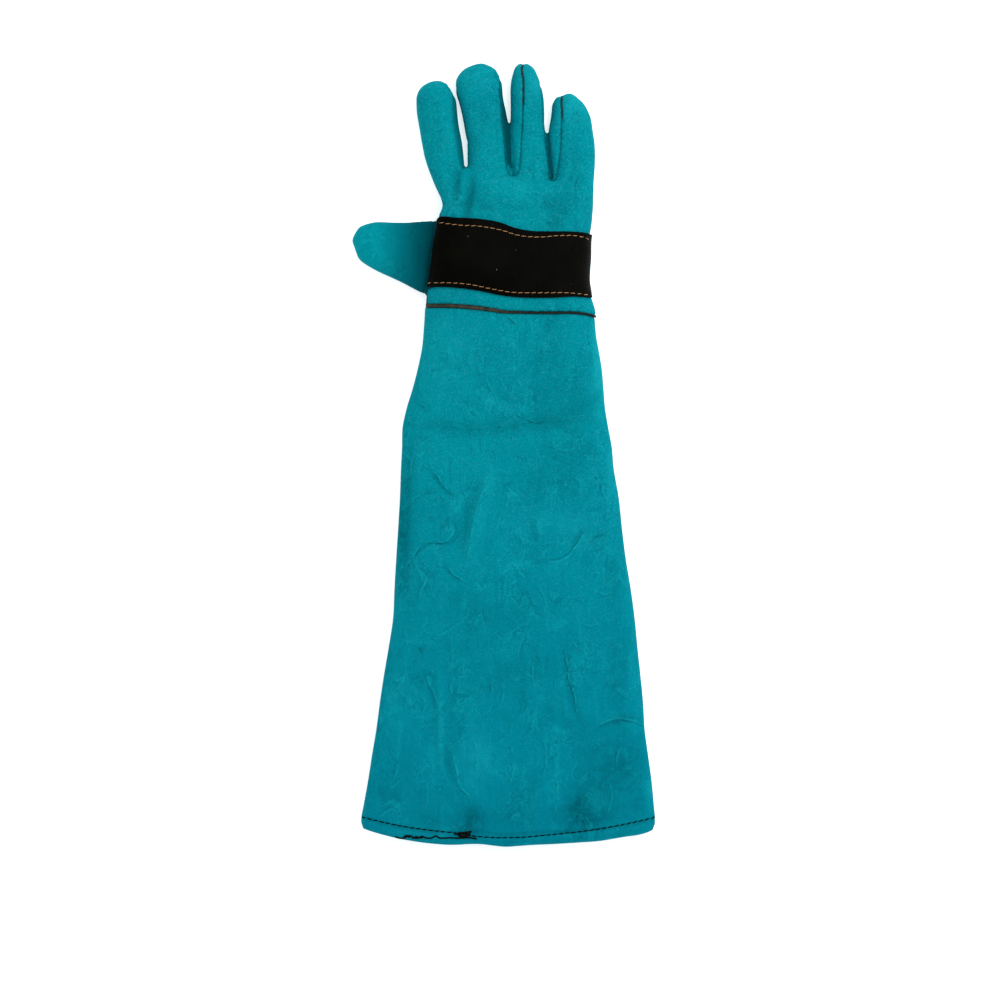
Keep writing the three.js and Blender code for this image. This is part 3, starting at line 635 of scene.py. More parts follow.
sleeve = {
    "columns": 158, "rows": 262, "lowerColumns": 110, "lowerRows": 190, "shoulder": 2.3, "heel": 2.6, "spread": 0.5,
    "seam": 1.12,  # where the side seams are, round the outline
    "hemFold": 2.8, "hemTurn": 9.0, "hemRow": 5.3,
    "hemLine": [(-90, 10.6), (-84, 9.7), (-77.5, 7.9), (-70.7, 6.2), (-63.9, 4.6), (-57, 3.4), (-50.2, 2.4),
                (-43.4, 1.7), (-36.6, 1.2), (-29.8, 1.2), (-23, 1.6), (-16.2, 1.5), (-9.4, 0.7), (-2.6, 0.1),
                (4.3, 0.5), (11.1, 1), (24.7, 1.6), (38.3, 2.4), (51.9, 3.4), (58.7, 4.5), (65.6, 5.6), (72.4, 6.4),
                (79.2, 8.1), (84, 9.8), (90, 11)],
    "slantStarts": 250, "slantEnds": 299,
    "lumps": [(0.6, 45, 3, 3.0), (0.26, 13, 3, 4.0), (0.1, 5, 2, 5.0)],  # height, size in mm, detail, number
    # rows of the distance up from the hem, the left and the right edge and the heights of crown and edge
    "table": [
        (0, -84, 81.2, 17.6, 5), (1.6, -84.7, 82, 17.9, 5), (5, -84.7, 82.2, 18, 5), (12, -83.5, 81.6, 17.8, 5),
        (26, -81.1, 80.4, 17.4, 5), (43, -78.7, 78.3, 17.2, 5), (60, -76.2, 76.3, 17.2, 5),
        (77, -74.2, 75.4, 17.5, 5), (94, -71.9, 73.9, 17.8, 5), (111, -69.2, 72.2, 18.2, 5.1),
        (128, -66.7, 70.6, 18.5, 5.3), (145, -65.9, 68.3, 18.7, 5.4), (162, -64.9, 65.5, 18.6, 5.5),
        (179, -63.8, 63.4, 18.4, 5.6), (196, -62.8, 61.6, 18, 5.8), (213, -62.2, 58.7, 17.4, 5.9),
        (225, -61.6, 57.6, 16.6, 6), (236, -61.3, 55.6, 15.9, 6), (247, -59, 53.8, 16.8, 6.2),
        (258, -55.6, 52.9, 18.4, 6.8), (270, -52.4, 52, 20.2, 7.5), (281, -50.1, 50.5, 21.8, 8.4),
        (292, -49.1, 48.7, 23, 9.2), (305, -48.3, 47.7, 23.8, 9.8),
    ],
    "wrinkles": [
        ([(-51.1, 213.2), (-47.8, 217.4), (-43.6, 211.5), (-37.9, 203.2), (-32.9, 199.1)], 0.9),
        ([(-55.3, 195.8), (-51.1, 198.2), (-46.1, 200.2), (-41.7, 200.9)], 0.7),
        ([(-59.5, 156.7), (-55.3, 162.4), (-51.1, 169.1), (-46.1, 171.6), (-36.2, 171.9), (-32.9, 175.7),
          (-30.4, 179.9), (-32.9, 182.8)], 1),
        ([(-41.2, 159.1), (-36.2, 156.7), (-31.2, 152.5), (-26.4, 149.3)], 0.9),
        ([(-11.2, 209.9), (-17.9, 198.2), (-22, 183.2), (-24.5, 168.2), (-26.4, 157.8)], 0.5),
        ([(41.2, 178.8), (37.1, 171.6), (32.9, 166.6), (25.4, 162.4), (20.7, 161.8)], 0.9),
        ([(54.2, 177.7), (48.7, 174.9), (44, 169.7)], 0.8),
        ([(6.5, 171.6), (18.7, 170.7), (25.8, 171.6)], 0.4),
        ([(28.7, 115.8), (31.2, 103.4), (32.9, 93.4), (35.4, 85), (37.9, 73.4), (42.3, 67)], 1),
        ([(5.4, 105.6), (7.1, 115), (12.1, 121.5)], 0.5),
        ([(12.1, 109), (11.7, 98.4), (12.9, 88.5)], 0.6),
        ([(-12.9, 100.5), (-11.2, 91.7), (-12, 86.8)], 0.8),
        ([(-4.5, 94.8), (-5.4, 80.6)], 0.5),
        ([(49.1, 67.5), (53.6, 69.2), (58.7, 71.7), (67, 70.9), (76.3, 68.1)], 1),
        ([(-47.4, 94.2), (-43.6, 85), (-41.7, 78.3)], 0.6),
        ([(-34.3, 53.4), (-31.5, 43.7), (-29.5, 33.4), (-24.5, 28.4), (-22.4, 23.8)], 0.9),
        ([(-32.3, 98.2), (-34.5, 88.4), (-32.1, 82.9)], 0.6),
        ([(-60.4, 97.1), (-66.1, 88.5)], 0.5),
        ([(-49.1, 108.4), (-51.9, 112.4), (-51.4, 109)], 1),
        ([(39.4, 26.1), (38.3, 15.9)], 0.6),
        ([(-57, 236.1), (-40, 237.8), (-23, 236.1), (-6, 237.8), (11.1, 239.5), (27, 241.2), (45.1, 243.5)], 0.3),
        ([(0.9, 246.3), (7.7, 241.8), (16.7, 239.5), (25.8, 241.2)], 0.8),
        ([(-53.1, 251.4), (-49.7, 249.2), (-46.3, 245.8)], 0.6),
        ([(-2.6, 299.7), (0.9, 297.4), (4.3, 294.6)], 0.8),
        ([(19.6, 227.6), (29.2, 223.6), (39.4, 224.8)], 0.5),
        ([(45.1, 213.4), (50.8, 204.3), (53.1, 195.3)], 0.4),
        ([(-6, 189.6), (-9.4, 179.4), (-10.5, 169.1)], 0.5),
        ([(11.1, 152.1), (16.7, 144.2), (20.1, 134)], 0.4),
        ([(45.1, 145.3), (53.1, 141.9), (61, 143)], 0.5),
        ([(36.6, 128.3), (45.1, 123.7), (54.2, 127.1)], 0.4),
        ([(-23, 137.4), (-27.5, 129.4), (-35.5, 123.7), (-42.3, 120.3)], 0.5),
        ([(-62.7, 123.7), (-59.3, 116.9), (-61.6, 110.1)], 0.4),
        ([(-23, 63), (-19.6, 53.4), (-20.7, 43.1)], 0.4),
        ([(16.7, 63), (19.6, 51.1), (17.3, 39.7)], 0.5),
        ([(-68.4, 59), (-65, 46.5), (-67.3, 35.2)], 0.4),
        ([(53.6, 40.9), (56.5, 28.4), (54.2, 19.3)], 0.4),
        ([(-51.4, 43.1), (-48, 31.8), (-49.1, 20.4)], 0.4),
    ],
    # clouds of tone, partly where the nap lies another way and partly painted light and shade, such as the lit right
    # edge
    "clouds": [
        (31, 216, 18, 22, -8), (37, 264, 8, 18, -5), (-62.5, 185, 4, 36, -15), (0, 133, 22, 10, -5),
        (-29, 140, 12, 9, -5), (60, 44, 19, 20, -15), (38, 19, 9, 13, -14), (-23, 13.6, 8, 8, -16),
        (3, 26, 6, 15, -8), (0, 15, 75, 7, -6), (-72, 111, 5, 14, -8), (-71, 29, 10, 8, -6), (8, 100, 16, 9, -4),
        (50, 268, 3.6, 30, 14), (57.5, 213, 3.4, 26, 10), (24, 185, 16, 8, 8), (-12, 208, 4, 10, 7),
        (-18, 188, 3.6, 11, 8), (-24, 168, 3.6, 10, 7), (-34, 282, 18, 20, 5), (-66, 83, 9, 18, 6),
        (-20, 50, 9, 18, 9), (79, 32, 3, 14, 9), (42, 176, 10, 8, 6), (-39.5, 69, 2, 28, 8), (-60, 5, 22, 5, 7),
        (70, 100, 4, 30, 4), (-58, 182, 6, 44, -8), (-75, 96, 4, 24, -11), (61, 96, 6, 28, -10), (59, 148, 5, 16, -7),
        (48, 20, 14, 13, -9), (24, 268, 8, 42, -7), (-30, 28, 7, 6, -7), (38, 68, 8, 7, -7), (-28, 110, 22, 34, -4),
        (38, 204, 8, 9, 8), (8, 2, 22, 4, -8),
    ],
    "crossingWrinkles": [
        ([(-47, 156.7), (-49.5, 150), (-52, 143.3), (-52.5, 137.9)], 0.5),
        ([(60.3, 55.6), (59.3, 45.4)], 0.7),
        ([(73.5, 42), (76.9, 30.7)], 0.5),
        ([(-18.4, 239.5), (-17.3, 232.7), (-17.3, 223.6)], 0.4),
        ([(-34.3, 220.2), (-34.3, 203.2)], 0.4),
        ([(-1.4, 59), (0.9, 48.8), (-1.4, 34.1)], 0.5),
        ([(24.1, 43.1), (25.8, 30.7), (23.6, 18.2)], 0.45),
    ],
    "creases": [
        ([(-60, 239), (-40, 237.3), (-18, 235.6), (3, 238.5), (28, 240.5), (52, 242)], 4, 1.3, 0.5),
        ([(24, 242), (36, 247), (48, 251), (53, 248)], 5, 0.6, 0.35),
        ([(-57, 252), (-30, 255), (0, 258), (30, 262)], 9, -0.9, 0),
        ([(2.5, 245), (9, 240.6), (18, 239.6), (27, 242)], 1.5, 0.5, 0.5),
        ([(-48.5, 215.7), (-42.6, 208.3), (-37, 201.5), (-29, 196.5)], 1.5, 0.8, 0.6),
        ([(-53.3, 251.4), (-50, 249), (-46.3, 245.4)], 1.8, 0.6, 0.5),
        ([(-54.5, 197.5), (-50, 200), (-46.3, 201.2), (-40.2, 201.8)], 1.4, 0.5, 0.5),
        ([(-54.5, 165.3), (-50.5, 168.6), (-48, 170.8), (-41, 171.6), (-34.3, 172.2), (-29.4, 177.3), (-33, 184.5),
          (-30.6, 187)], 1.2, 0.6, 0.7),
        ([(-11.6, 213), (-17.5, 195.3), (-21.1, 183.3), (-23.6, 160)], 3, -1.2, 0),
        ([(-17, 210), (-23.2, 193.6), (-26.7, 179.4), (-29, 160)], 3.2, 1.1, 0.35),
        ([(41.2, 179), (38, 174.5), (34.6, 170)], 1.6, 0.7, 0.7),
        ([(54.2, 177.3), (50, 175.5), (45.7, 172.6)], 1.6, 0.6, 0.7),
        ([(-2.5, 299.8), (0.4, 297), (4, 294.6)], 1.1, 0.4, 0.5),
        ([(-39, 160.1), (-33.5, 154), (-28.2, 149.3)], 1.5, 0.6, 0.5),
        ([(-42.6, 158.9), (-46.5, 151), (-48.5, 141.9)], 2.4, 0.5, 0.2),
        ([(-42.6, 120.5), (-44, 118.6), (-45.5, 117)], 1, 0.4, 0.5),
        ([(-49.6, 112.4), (-51.9, 109.6)], 1.4, 0.5, 0.6),
        ([(-46.3, 89.5), (-42.9, 80), (-41.6, 69)], 1.8, 0.6, 0.35),
        ([(-37.6, 60), (-36.2, 51), (-34, 41), (-29.4, 31)], 1.6, 0.9, 0.5),
        ([(-40.6, 98), (-39.8, 71.5), (-38.6, 46), (-32.6, 26)], 2.2, -0.9, 0),
        ([(-35.5, 92), (-34.6, 72), (-33.4, 56)], 3, 0.6, 0.15),
        ([(29.1, 116), (31.5, 100.2), (35.1, 81.2), (39.9, 67)], 1.8, 1, 0.45),
        ([(25.8, 112), (28.4, 94.2), (32, 76.1), (35.6, 62)], 2.2, -0.9, 0),
        ([(76.9, 70.4), (69, 72), (61.4, 71), (49.4, 67.6)], 1.7, 1, 0.6),
        ([(75, 65), (66, 66), (56, 63)], 2.4, -0.7, 0),
        ([(-12.8, 96), (-11.6, 87.5)], 1.2, 0.5, 0.4),
        ([(20.7, 88), (21.9, 70)], 3, 0.6, 0.35),
        ([(5.4, 118), (6, 105)], 1.1, 0.3, 0.3),
        ([(13, 116), (13.6, 95)], 1.1, 0.3, 0.35),
        ([(-23, 24), (-20.1, 12)], 4.5, 1.2, 0.4),
        ([(37.5, 30), (38.9, 13)], 4.5, 1.2, 0.45),
        ([(61.2, 54), (61.8, 45)], 1.8, 0.6, 0.5),
        ([(72.4, 28), (72, 18)], 2.5, 0.8, 0.4),
        ([(-76, 33), (-71, 25)], 3, 0.7, 0.35),
        ([(-34.3, 219), (-34.3, 204)], 1, 0.3, 0.3),
        ([(-18, 239), (-17.3, 223)], 1.2, 0.4, 0.4),
        ([(-57, 232), (-58.2, 207.7), (-58.6, 185), (-59.8, 162), (-60.4, 138)], 2.2, 1.1, 0.3),
        ([(-10, 70), (-11, 50), (-8, 30), (-10, 12)], 7, -0.8, 0),
        ([(12, 62), (14, 40), (12, 14)], 7, 0.7, 0.1),
        ([(54, 60), (56, 40), (55, 12)], 7, -0.8, 0),
        ([(-58, 60), (-60, 36), (-58, 12)], 7, 0.5, 0.1),
        ([(30, 215), (36, 200), (38, 186)], 6, 0.7, 0.2),
        ([(5, 225), (8, 205), (6, 180)], 7, 0.5, 0.12),
    ],
}


def sleeveSection(up):
    places, *columns = zip(*sleeve["table"])
    left, right, crown, edge = (float(smoothRead(places, column, up)) for column in columns)
    return {
        **sleeve, "middle": (left + right) / 2, "half": (right - left) / 2,
        "top": crown, "left": edge, "right": edge,
    }


# One panel of the sleeve: an outer sheet whose hem turns inside, given its wall afterwards.
def makeSleeveSheet(upper):
    columns, rows = (sleeve["columns"], sleeve["rows"]) if upper else (sleeve["lowerColumns"], sleeve["lowerRows"])
    fold = sleeve["hemFold"] / 2
    wristEnd = wrist["y"] - wrist["clear"]
    turned = [(up, 2 * fold) for up in np.linspace(sleeve["hemTurn"], 0.4, 9)]
    bend = [(-fold * math.sin(a), fold * (1 + math.cos(a))) for a in np.linspace(0, math.pi, 9)[:-1]]
    outer = [(up, 0) for up in np.linspace(0, wristEnd, rows)]
    grid, info = [], []
    for up, inset in turned + bend + outer:
        section = sleeveSection(max(up, 0))
        start, end = (-sleeve["seam"], sleeve["seam"]) if upper else (sleeve["seam"], 4 - sleeve["seam"])
        x, z, across, rise, run = outline(section, start, end, columns)
        nx, nz = outwardNormals(x, z)
        y = up + fold + (readLine(sleeve["hemLine"], x) - 0.1) * (1 - smoothStep(up, 20, 130))
        slanted = smoothStep(up, sleeve["slantStarts"], sleeve["slantEnds"])
        y = y + slanted * (readLine(wrist["line"], x) - wrist["y"])
        edge = np.minimum(run, run[-1] - run)
        dip = 0.9 * np.exp(-(edge / 1.4)**2) + 1.0 * math.exp(-((wristEnd - up) / 1.5)**2)
        sink = dip * (1 if inset == 0 else 0) + inset
        grid.append(np.stack([x - nx * sink, y, z - nz * sink], axis=1))
        info.append(np.stack([np.full_like(x, up), rise, edge, np.full_like(x, inset)], axis=1))
    return np.array(grid), np.array(info)


def makeSleeve():
    pieces = {}
    for name, upper in (("cuff_upper", True), ("cuff_lower", False)):
        grid, info = makeSleeveSheet(upper)
        shape = grid.shape[:2]
        flat = grid.reshape(-1, 3)
        x, y = flat[:, 0], flat[:, 1]
        up, rise, edge, inset = info.reshape(-1, 4).T
        outside = inset < 0.1
        wristEnd = wrist["y"] - wrist["clear"]
        lumps = sum(high * fractal(flat, *pattern) for high, *pattern in sleeve["lumps"])
        fields = {"shade": np.zeros_like(x), "grain": 0.32 + 0.46 * smoothStep(y, 20, 300)}
        if upper:
            depth, dark = creaseDepth(sleeve["creases"], x, y)
            press = smoothStep(rise, 0.05, 0.5)
            stitched = 0.45 * np.exp(-((up - sleeve["hemRow"]) / 1.0)**2) * outside
            hemRoll = 0.35 * np.exp(-((up - 1.5) / 1.8)**2) * outside
            flat[:, 2] += press * (lumps - depth) + (hemRoll - stitched) * press
            # painted shade in the creases and along the hem's stitched groove
            fields["shade"] = 0.45 * dark * press + 0.3 * np.exp(-((up - sleeve["hemRow"]) / 0.8)**2) * outside
            fields["tone"] = cloudTone(sleeve["clouds"], x, y) * outside
            for key, wrinkles in (("wrinkle", sleeve["wrinkles"]), ("crossWrinkle", sleeve["crossingWrinkles"])):
                distance, strength = wrinkleFields(wrinkles, x, y)
                fields[key], fields[key + "Strong"] = distance, strength * outside
        else:
            flat[:, 2] += np.where(flat[:, 2] > 1.5, lumps * 0.5, 0)
        flat[:, 2] = np.maximum(flat[:, 2], 0.05)
        fields["seam"] = np.minimum(np.minimum(edge, wristEnd - up + wrist["clear"]), 6)
        fields["seamDark"] = np.full_like(x, 0.5)
        piece = gridSheet(name, flat.reshape(*shape, 3))
        order = gridOrder(*shape)
        for key, values in fields.items():
            setAttribute(piece, key, values[order])
        facing = readNormals(piece)[:, 2].mean()
        if (facing < 0) == upper:
            piece.data.flip_normals()
        addModifier(piece, "SOLIDIFY", thickness=leather["sleeve"], offset=-1, use_rim=True)
        applyModifiers(piece)
        pieces[name] = piece
        print(name, len(piece.data.polygons), "faces")
    return pieces


# For each vertex of a grid, its place in the flat list of rows x columns.
def gridOrder(rows, columns):
    bm = bmesh.new()
    bmesh.ops.create_grid(bm, x_segments=columns - 1, y_segments=rows - 1, size=1)
    order = [round((v.co.y + 1) / 2 * (rows - 1)) * columns + round((v.co.x + 1) / 2 * (columns - 1))
             for v in bm.verts]
    bm.free()
    return np.array(order)


strip = {"leftWide": 2.5, "rightWide": 1.25, "proud": 0.7, "sideProud": 0.05, "deep": 2.2}


# A folded strip of leather that stands out of the wrist seam all the way round.
def makeStrip():
    section = palmSection(0)
    x, z, _, _, _ = outline(section, -2, 2, 241)
    nx, nz = outwardNormals(x, z)
    half = (strip["leftWide"] + (strip["rightWide"] - strip["leftWide"]) * smoothStep(x, -22, 16)) / 2
    wander = np.array([0.12 * noise.noise(Vector((a * 0.11, 0.5, 0))) for a in x])
    profile = []
    for a in np.linspace(0, 2 * math.pi, 17):
        profile.append((math.copysign(abs(math.cos(a)) ** 0.5, math.cos(a)),
                        math.copysign(abs(math.sin(a)) ** 0.6, math.sin(a))))
    grid = []
    for wide, tall in profile:
        top = smoothStep(nz, 0.15, 0.7)
        proud = strip["sideProud"] + (strip["proud"] - strip["sideProud"]) * top
        lift = tall * (proud if tall > 0 else strip["deep"])
        grid.append(np.stack([x + nx * lift, readLine(wrist["line"], x) + wander + wide * half,
                              np.maximum(z + nz * lift, 0.02)], axis=1))
    piece = gridSheet("wrist_welt", np.array(grid), closed=True, merge=0.002)
    x, y, _ = readPoints(piece).T
    setAttribute(piece, "rim", np.abs(y - readLine(wrist["line"], x)) / strip["leftWide"] * 2)
    return piece


band = {
    "columns": 176, "rows": 60, "clear": 0.25, "castFrom": 7, "lowest": -1.2, "highest": 0.9, "evened": 14,
    "leftPlace": -0.985, "rightPlace": 1.04, "tuck": 0.08,
    "top": [(-50, 352.5), (-40.7, 354.6), (-40, 355.7), (-39, 356.3), (-37, 356.4), (-31.5, 355.8),
            (-17.3, 354.9), (-6, 352.9), (2.6, 349.8), (11.1, 348.2), (22.4, 347.9), (33.8, 348), (41, 347.6),
            (46.5, 346.4)],
    "bottom": [(-47.5, 316.6), (-40, 317), (-28.7, 316.3), (-17.3, 314.7), (-6, 312.3), (5.4, 311), (22.4, 310.8),
               (36.6, 311.3), (46.5, 310.7)],
    "topStitches": [(-42.6, 353.6), (-28.7, 351.6), (-17.3, 350.9), (-6, 348.9), (5.4, 345.6), (16.7, 344.8),
                    (28.1, 345.7), (39.4, 345.3), (44.6, 343.7), (46.8, 342.5)],
    "bottomStitches": [(-46, 319.2), (-34.3, 319.1), (-23, 318.1), (-11.6, 315.8), (-0.3, 313.8), (16.7, 313.4),
                       (33.8, 313.4), (46.4, 312.2)],
    "stitchPitch": 3.65, "stitchLong": 3.1, "stitchWide": 0.4, "stitchTall": 0.4,
}


# A strip of smooth leather laid over the back of the hand, from one side seam to the other.
def makeBand(body):
    surface = surfaceOf(body)
    ups = np.arange(0, 60.1, 1.5)
    base, out = [], []
    for share in np.linspace(0, 1, band["rows"]):
        rightPlace = band["rightPlace"] - band["tuck"] * (1 - float(smoothStep(share, 0, 0.25)))
        sections = []
        for up in ups:
            x, z, _, _, _ = outline(palmSection(up), band["leftPlace"], rightPlace, band["columns"])
            sections.append(np.stack([x, z, *outwardNormals(x, z)]))
        sections = np.array(sections)
        x = sections[10, 0].copy()
        for _ in range(4):
            low, high = readLine(band["bottom"], x), readLine(band["top"], x)
            y = low + share * (high - low)
            at = np.clip((y - wrist["y"] - slant(x)) / 1.5, 0, len(ups) - 1.001)
            k = at.astype(int)
            part = at - k
            columns = np.arange(len(x))
            found = sections[k, :, columns] * (1 - part)[:, None] + sections[k + 1, :, columns] * part[:, None]
            x = found[:, 0]
        base.append(np.stack([x, y, found[:, 1]], axis=1))
        out.append(np.stack([found[:, 2], np.zeros_like(x), found[:, 3]], axis=1))
    base, out = np.array(base), np.array(out)
    lift = np.zeros(base.shape[:2])
    for i, j in np.ndindex(*lift.shape):
        start = Vector(base[i, j] + band["castFrom"] * out[i, j])
        spot, _, _, gap = surface.ray_cast(start, Vector(-out[i, j]), 2 * band["castFrom"])
        lift[i, j] = band["castFrom"] - gap if spot is not None else 0
    lift = np.clip(lift, band["lowest"], band["highest"])
    for _ in range(band["evened"]):
        wide = np.pad(lift, 1, mode="edge")
        lift = (wide[1:-1, :-2] + wide[1:-1, 2:] + wide[:-2, 1:-1] + wide[2:, 1:-1] + 2 * lift) / 6
    piece = gridSheet("back_band", base + out * (lift + band["clear"])[:, :, None])
    if readNormals(piece)[:, 2].mean() < 0:
        piece.data.flip_normals()
    addModifier(piece, "SOLIDIFY", thickness=leather["band"], offset=1, use_rim=True)
    applyModifiers(piece)
    addModifier(piece, "BEVEL", width=0.3, segments=2, limit_method="ANGLE", angle_limit=math.radians(50))
    applyModifiers(piece)
    return piece


def surfaceOf(piece):
    points = readPoints(piece)
    return BVHTree.FromPolygons([Vector(p) for p in points], [tuple(p.vertices) for p in piece.data.polygons])


# One stitch: a short bent length of thread whose ends go into the leather.
def addStitch(bm, spot, along, normal, long, wide, tall):
    made = bmesh.ops.create_uvsphere(bm, u_segments=10, v_segments=8, radius=0.5)
    side = normal.cross(along).normalized()
    along = side.cross(normal).normalized()
    for vertex in made["verts"]:
        a, b, c = vertex.co
        reach = math.copysign((abs(a) * 2) ** 0.75, a) / 2
        dip = 0.35 * tall * (2 * reach) ** 4
        vertex.co = spot + along * reach * long + side * b * wide + normal * (c * tall + 0.18 * tall - dip)


# Stitches along a line of plan points, laid on the surface under it.
def stitchRow(bm, surface, line, pitch, long, wide, tall, tilt=0.0, skip=0.0):
    points = sampleLine(line, pitch)
    for i in range(len(points)):
        ahead = points[min(i + 1, len(points) - 1)] - points[max(i - 1, 0)]
        if random.random() < skip:
            continue
        top = Vector((points[i][0], points[i][1], 60))
        spot, normal, _, _ = surface.ray_cast(top, Vector((0, 0, -1)))
        if spot is None:
            continue
        turn = tilt + random.uniform(-0.07, 0.07)
        along = Matrix.Rotation(turn, 3, "Z") @ Vector((ahead[0], ahead[1], 0)).normalized()
        along = (along - normal * along.dot(normal)).normalized()
        length = long * random.uniform(0.94, 1.05)
        addStitch(bm, spot, along, normal, length, wide, tall)


def makeBandStitches(bandPiece):
    surface = surfaceOf(bandPiece)
    bm = bmesh.new()
    for line in (band["topStitches"], band["bottomStitches"]):
        stitchRow(bm, surface, line, band["stitchPitch"], band["stitchLong"], band["stitchWide"],
                  band["stitchTall"], tilt=0.1)
    return newObject("band_stitches", bm)


hem = {
    "row": [(-83.4, 16.2), (-74.1, 14.2), (-62.7, 11.9), (-51.4, 10.1), (-40, 8.8), (-31.5, 7.9), (-20.1, 6.1),
            (-6, 5.2), (5.4, 5.4), (22.4, 6.8), (39.4, 8.6), (56.5, 11.1), (73.5, 14.5), (80.8, 16.1)],
    "pitch": 3.55, "long": 3.5, "wide": 0.76, "tall": 0.64,
    "tail": [(-65.3, 5.7), (-62.8, 4.7), (-60.4, 4.8), (-58.7, 5.8), (-57.2, 6.3), (-54.8, 5.2), (-52.4, 4.9),
             (-50, 6), (-48.2, 5.2), (-44, 5.3), (-42.6, 6.3), (-40.5, 5.2), (-37.5, 5.0), (-34.5, 5.2), (-28.5, 5.0),
             (-24, 5.3), (-19, 4.6)],
    "curl": [(-60.6, 5.2), (-58.8, 6.5), (-57.4, 5.3), (-56.2, 6.4), (-55, 4.7), (-53.4, 5.8), (-51.8, 5.1),
             (-49.6, 5.4)],
    "knot": [(-31.6, 7.0), (-27.5, 8.2), (-24.4, 6.6), (-28.2, 5.8), (-30, 7.3), (-25.6, 8.1), (-22.6, 6.9),
             (-26.8, 6.3), (-29.4, 6.7), (-24.8, 8.5), (-22.2, 8.8), (-23.8, 7.4), (-26.4, 5.9), (-22.6, 5.4),
             (-19.6, 4.9)],
    "thread": 0.42,
}


# A loose thread that lies on the leather, made a mesh.
def threadCurve(name, surface, line, radius, lift, wave):
    points = sampleLine(line, 0.7)
    spots = []
    for i, (x, y) in enumerate(points):
        spot, normal, _, _ = surface.ray_cast(Vector((x, y, 60)), Vector((0, 0, -1)))
        if spot is None:
            continue
        rise = radius * 0.8 + lift * (0.5 + 0.5 * math.sin(i * wave)) + 0.1 * random.random()
        spots.append(spot + Vector((0, 0, 1)) * rise)
    curve = bpy.data.curves.new(name, "CURVE")
    curve.dimensions = "3D"
    curve.bevel_depth = radius
    curve.bevel_resolution = 2
    curve.use_fill_caps = True
    spline = curve.splines.new("POLY")
    spline.points.add(len(spots) - 1)
    for point, spot in zip(spline.points, spots):
        point.co = (*spot, 1)
    piece = bpy.data.objects.new(name, curve)
    bpy.context.scene.collection.objects.link(piece)
    seen = piece.evaluated_get(bpy.context.evaluated_depsgraph_get())
    mesh = bpy.data.meshes.new_from_object(seen)
    bpy.data.objects.remove(piece)
    made = bpy.data.objects.new(name, mesh)
    bpy.context.scene.collection.objects.link(made)
    return made


def makeHemStitches(cuff):
    surface = surfaceOf(cuff)
    bm = bmesh.new()
    stitchRow(bm, surface, hem["row"], hem["pitch"], hem["long"], hem["wide"], hem["tall"], tilt=0.05)
    stitches = newObject("hem_stitches", bm)
    tail = threadCurve("loose_thread", surface, hem["tail"], hem["thread"], 0.4, 1.3)
    curl = threadCurve("thread_curl", surface, hem["curl"], hem["thread"], 0.9, 0.8)
    knot = threadCurve("thread_tangle", surface, hem["knot"], hem["thread"], 1.0, 0.9)
    return stitches, tail, curl, knot


seamThread = {
    "ring": [(7.6, 444), (7.3, 442.8), (5.8, 441.2), (6.8, 439.4), (6.1, 437.6), (7.5, 435.8), (6.9, 433.8),
             (7.6, 431.6), (6.9, 429.2), (7.5, 426.4), (7.0, 423.6), (7.2, 420)],
    "little": [(30.4, 426.4), (28.8, 425.2), (29.6, 423.2), (28.7, 421), (29.4, 418.6), (28.8, 416), (29.2, 412)],
    "web": [(-1.4, 381.8), (0.1, 380.1), (1.6, 379.8), (3.2, 380.2), (4.4, 381.6)],
    "thick": 0.26,
}


# Dark threads that show at the ends of the finger seams and round the bottom of a strip.
def makeSeamThreads(body):
    surface = surfaceOf(body)
    ring = threadCurve("ring_thread", surface, seamThread["ring"], seamThread["thick"], 0.3, 1.4)
    little = threadCurve("little_thread", surface, seamThread["little"], seamThread["thick"], 0.3, 1.4)
    bm = bmesh.new()
    stitchRow(bm, surface, seamThread["web"], 1.9, 1.3, 0.45, 0.4)
    return ring, little, newObject("seam_stitches", bm)


def toLinear(hexColour):
    channels = [int(hexColour[i:i + 2], 16) / 255 for i in (1, 3, 5)]
    return [c / 12.92 if c <= 0.04045 else ((c + 0.055) / 1.055) ** 2.4 for c in channels] + [1.0]


def addNode(material, kind, settings=None, inputs=None):
    node = material.node_tree.nodes.new(kind)
    for name, value in (settings or {}).items():
        setattr(node, name, value)
    for socket, value in (inputs or {}).items():
        target = node.inputs[socket]
        if isinstance(value, bpy.types.NodeSocket):
            material.node_tree.links.new(value, target)
        else:
            target.default_value = value
    return node


def startMaterial(name):
    material = bpy.data.materials.new(name)
    material.use_nodes = True
    material.node_tree.nodes.clear()
    where = addNode(material, "ShaderNodeTexCoord").outputs["Object"]
    return material, where


def endMaterial(material, **inputs):
    sockets = {name.replace("_", " "): value for name, value in inputs.items()}
    shader = addNode(material, "ShaderNodeBsdfPrincipled", {}, sockets)
    addNode(material, "ShaderNodeOutputMaterial", {}, {"Surface": shader.outputs["BSDF"]})
    return material


# Random patches of about this size in mm, from 0 to 1.
def patches(material, where, size, detail, low, high, rough=0.5, distortion=0.0, stretch=(1, 1, 1)):
    vector = addNode(material, "ShaderNodeMapping", {}, {"Vector": where, "Scale": stretch}).outputs[0]
    field = addNode(material, "ShaderNodeTexNoise", {}, {
        "Vector": vector, "Scale": 1000 / size, "Detail": detail, "Roughness": rough, "Distortion": distortion})
    ranged = addNode(material, "ShaderNodeMapRange", {"interpolation_type": "SMOOTHSTEP"}, {
        "Value": field.outputs[0], "From Min": low, "From Max": high})
    return ranged.outputs[0]


def tinted(material, base, colour, share, strength=1.0):
    factor = addNode(material, "ShaderNodeMath", {"operation": "MULTIPLY"}, {0: share, 1: strength}).outputs[0]
    mix = addNode(material, "ShaderNodeMix", {"data_type": "RGBA"}, {0: factor, 6: base, 7: toLinear(colour)})
    return mix.outputs[2]


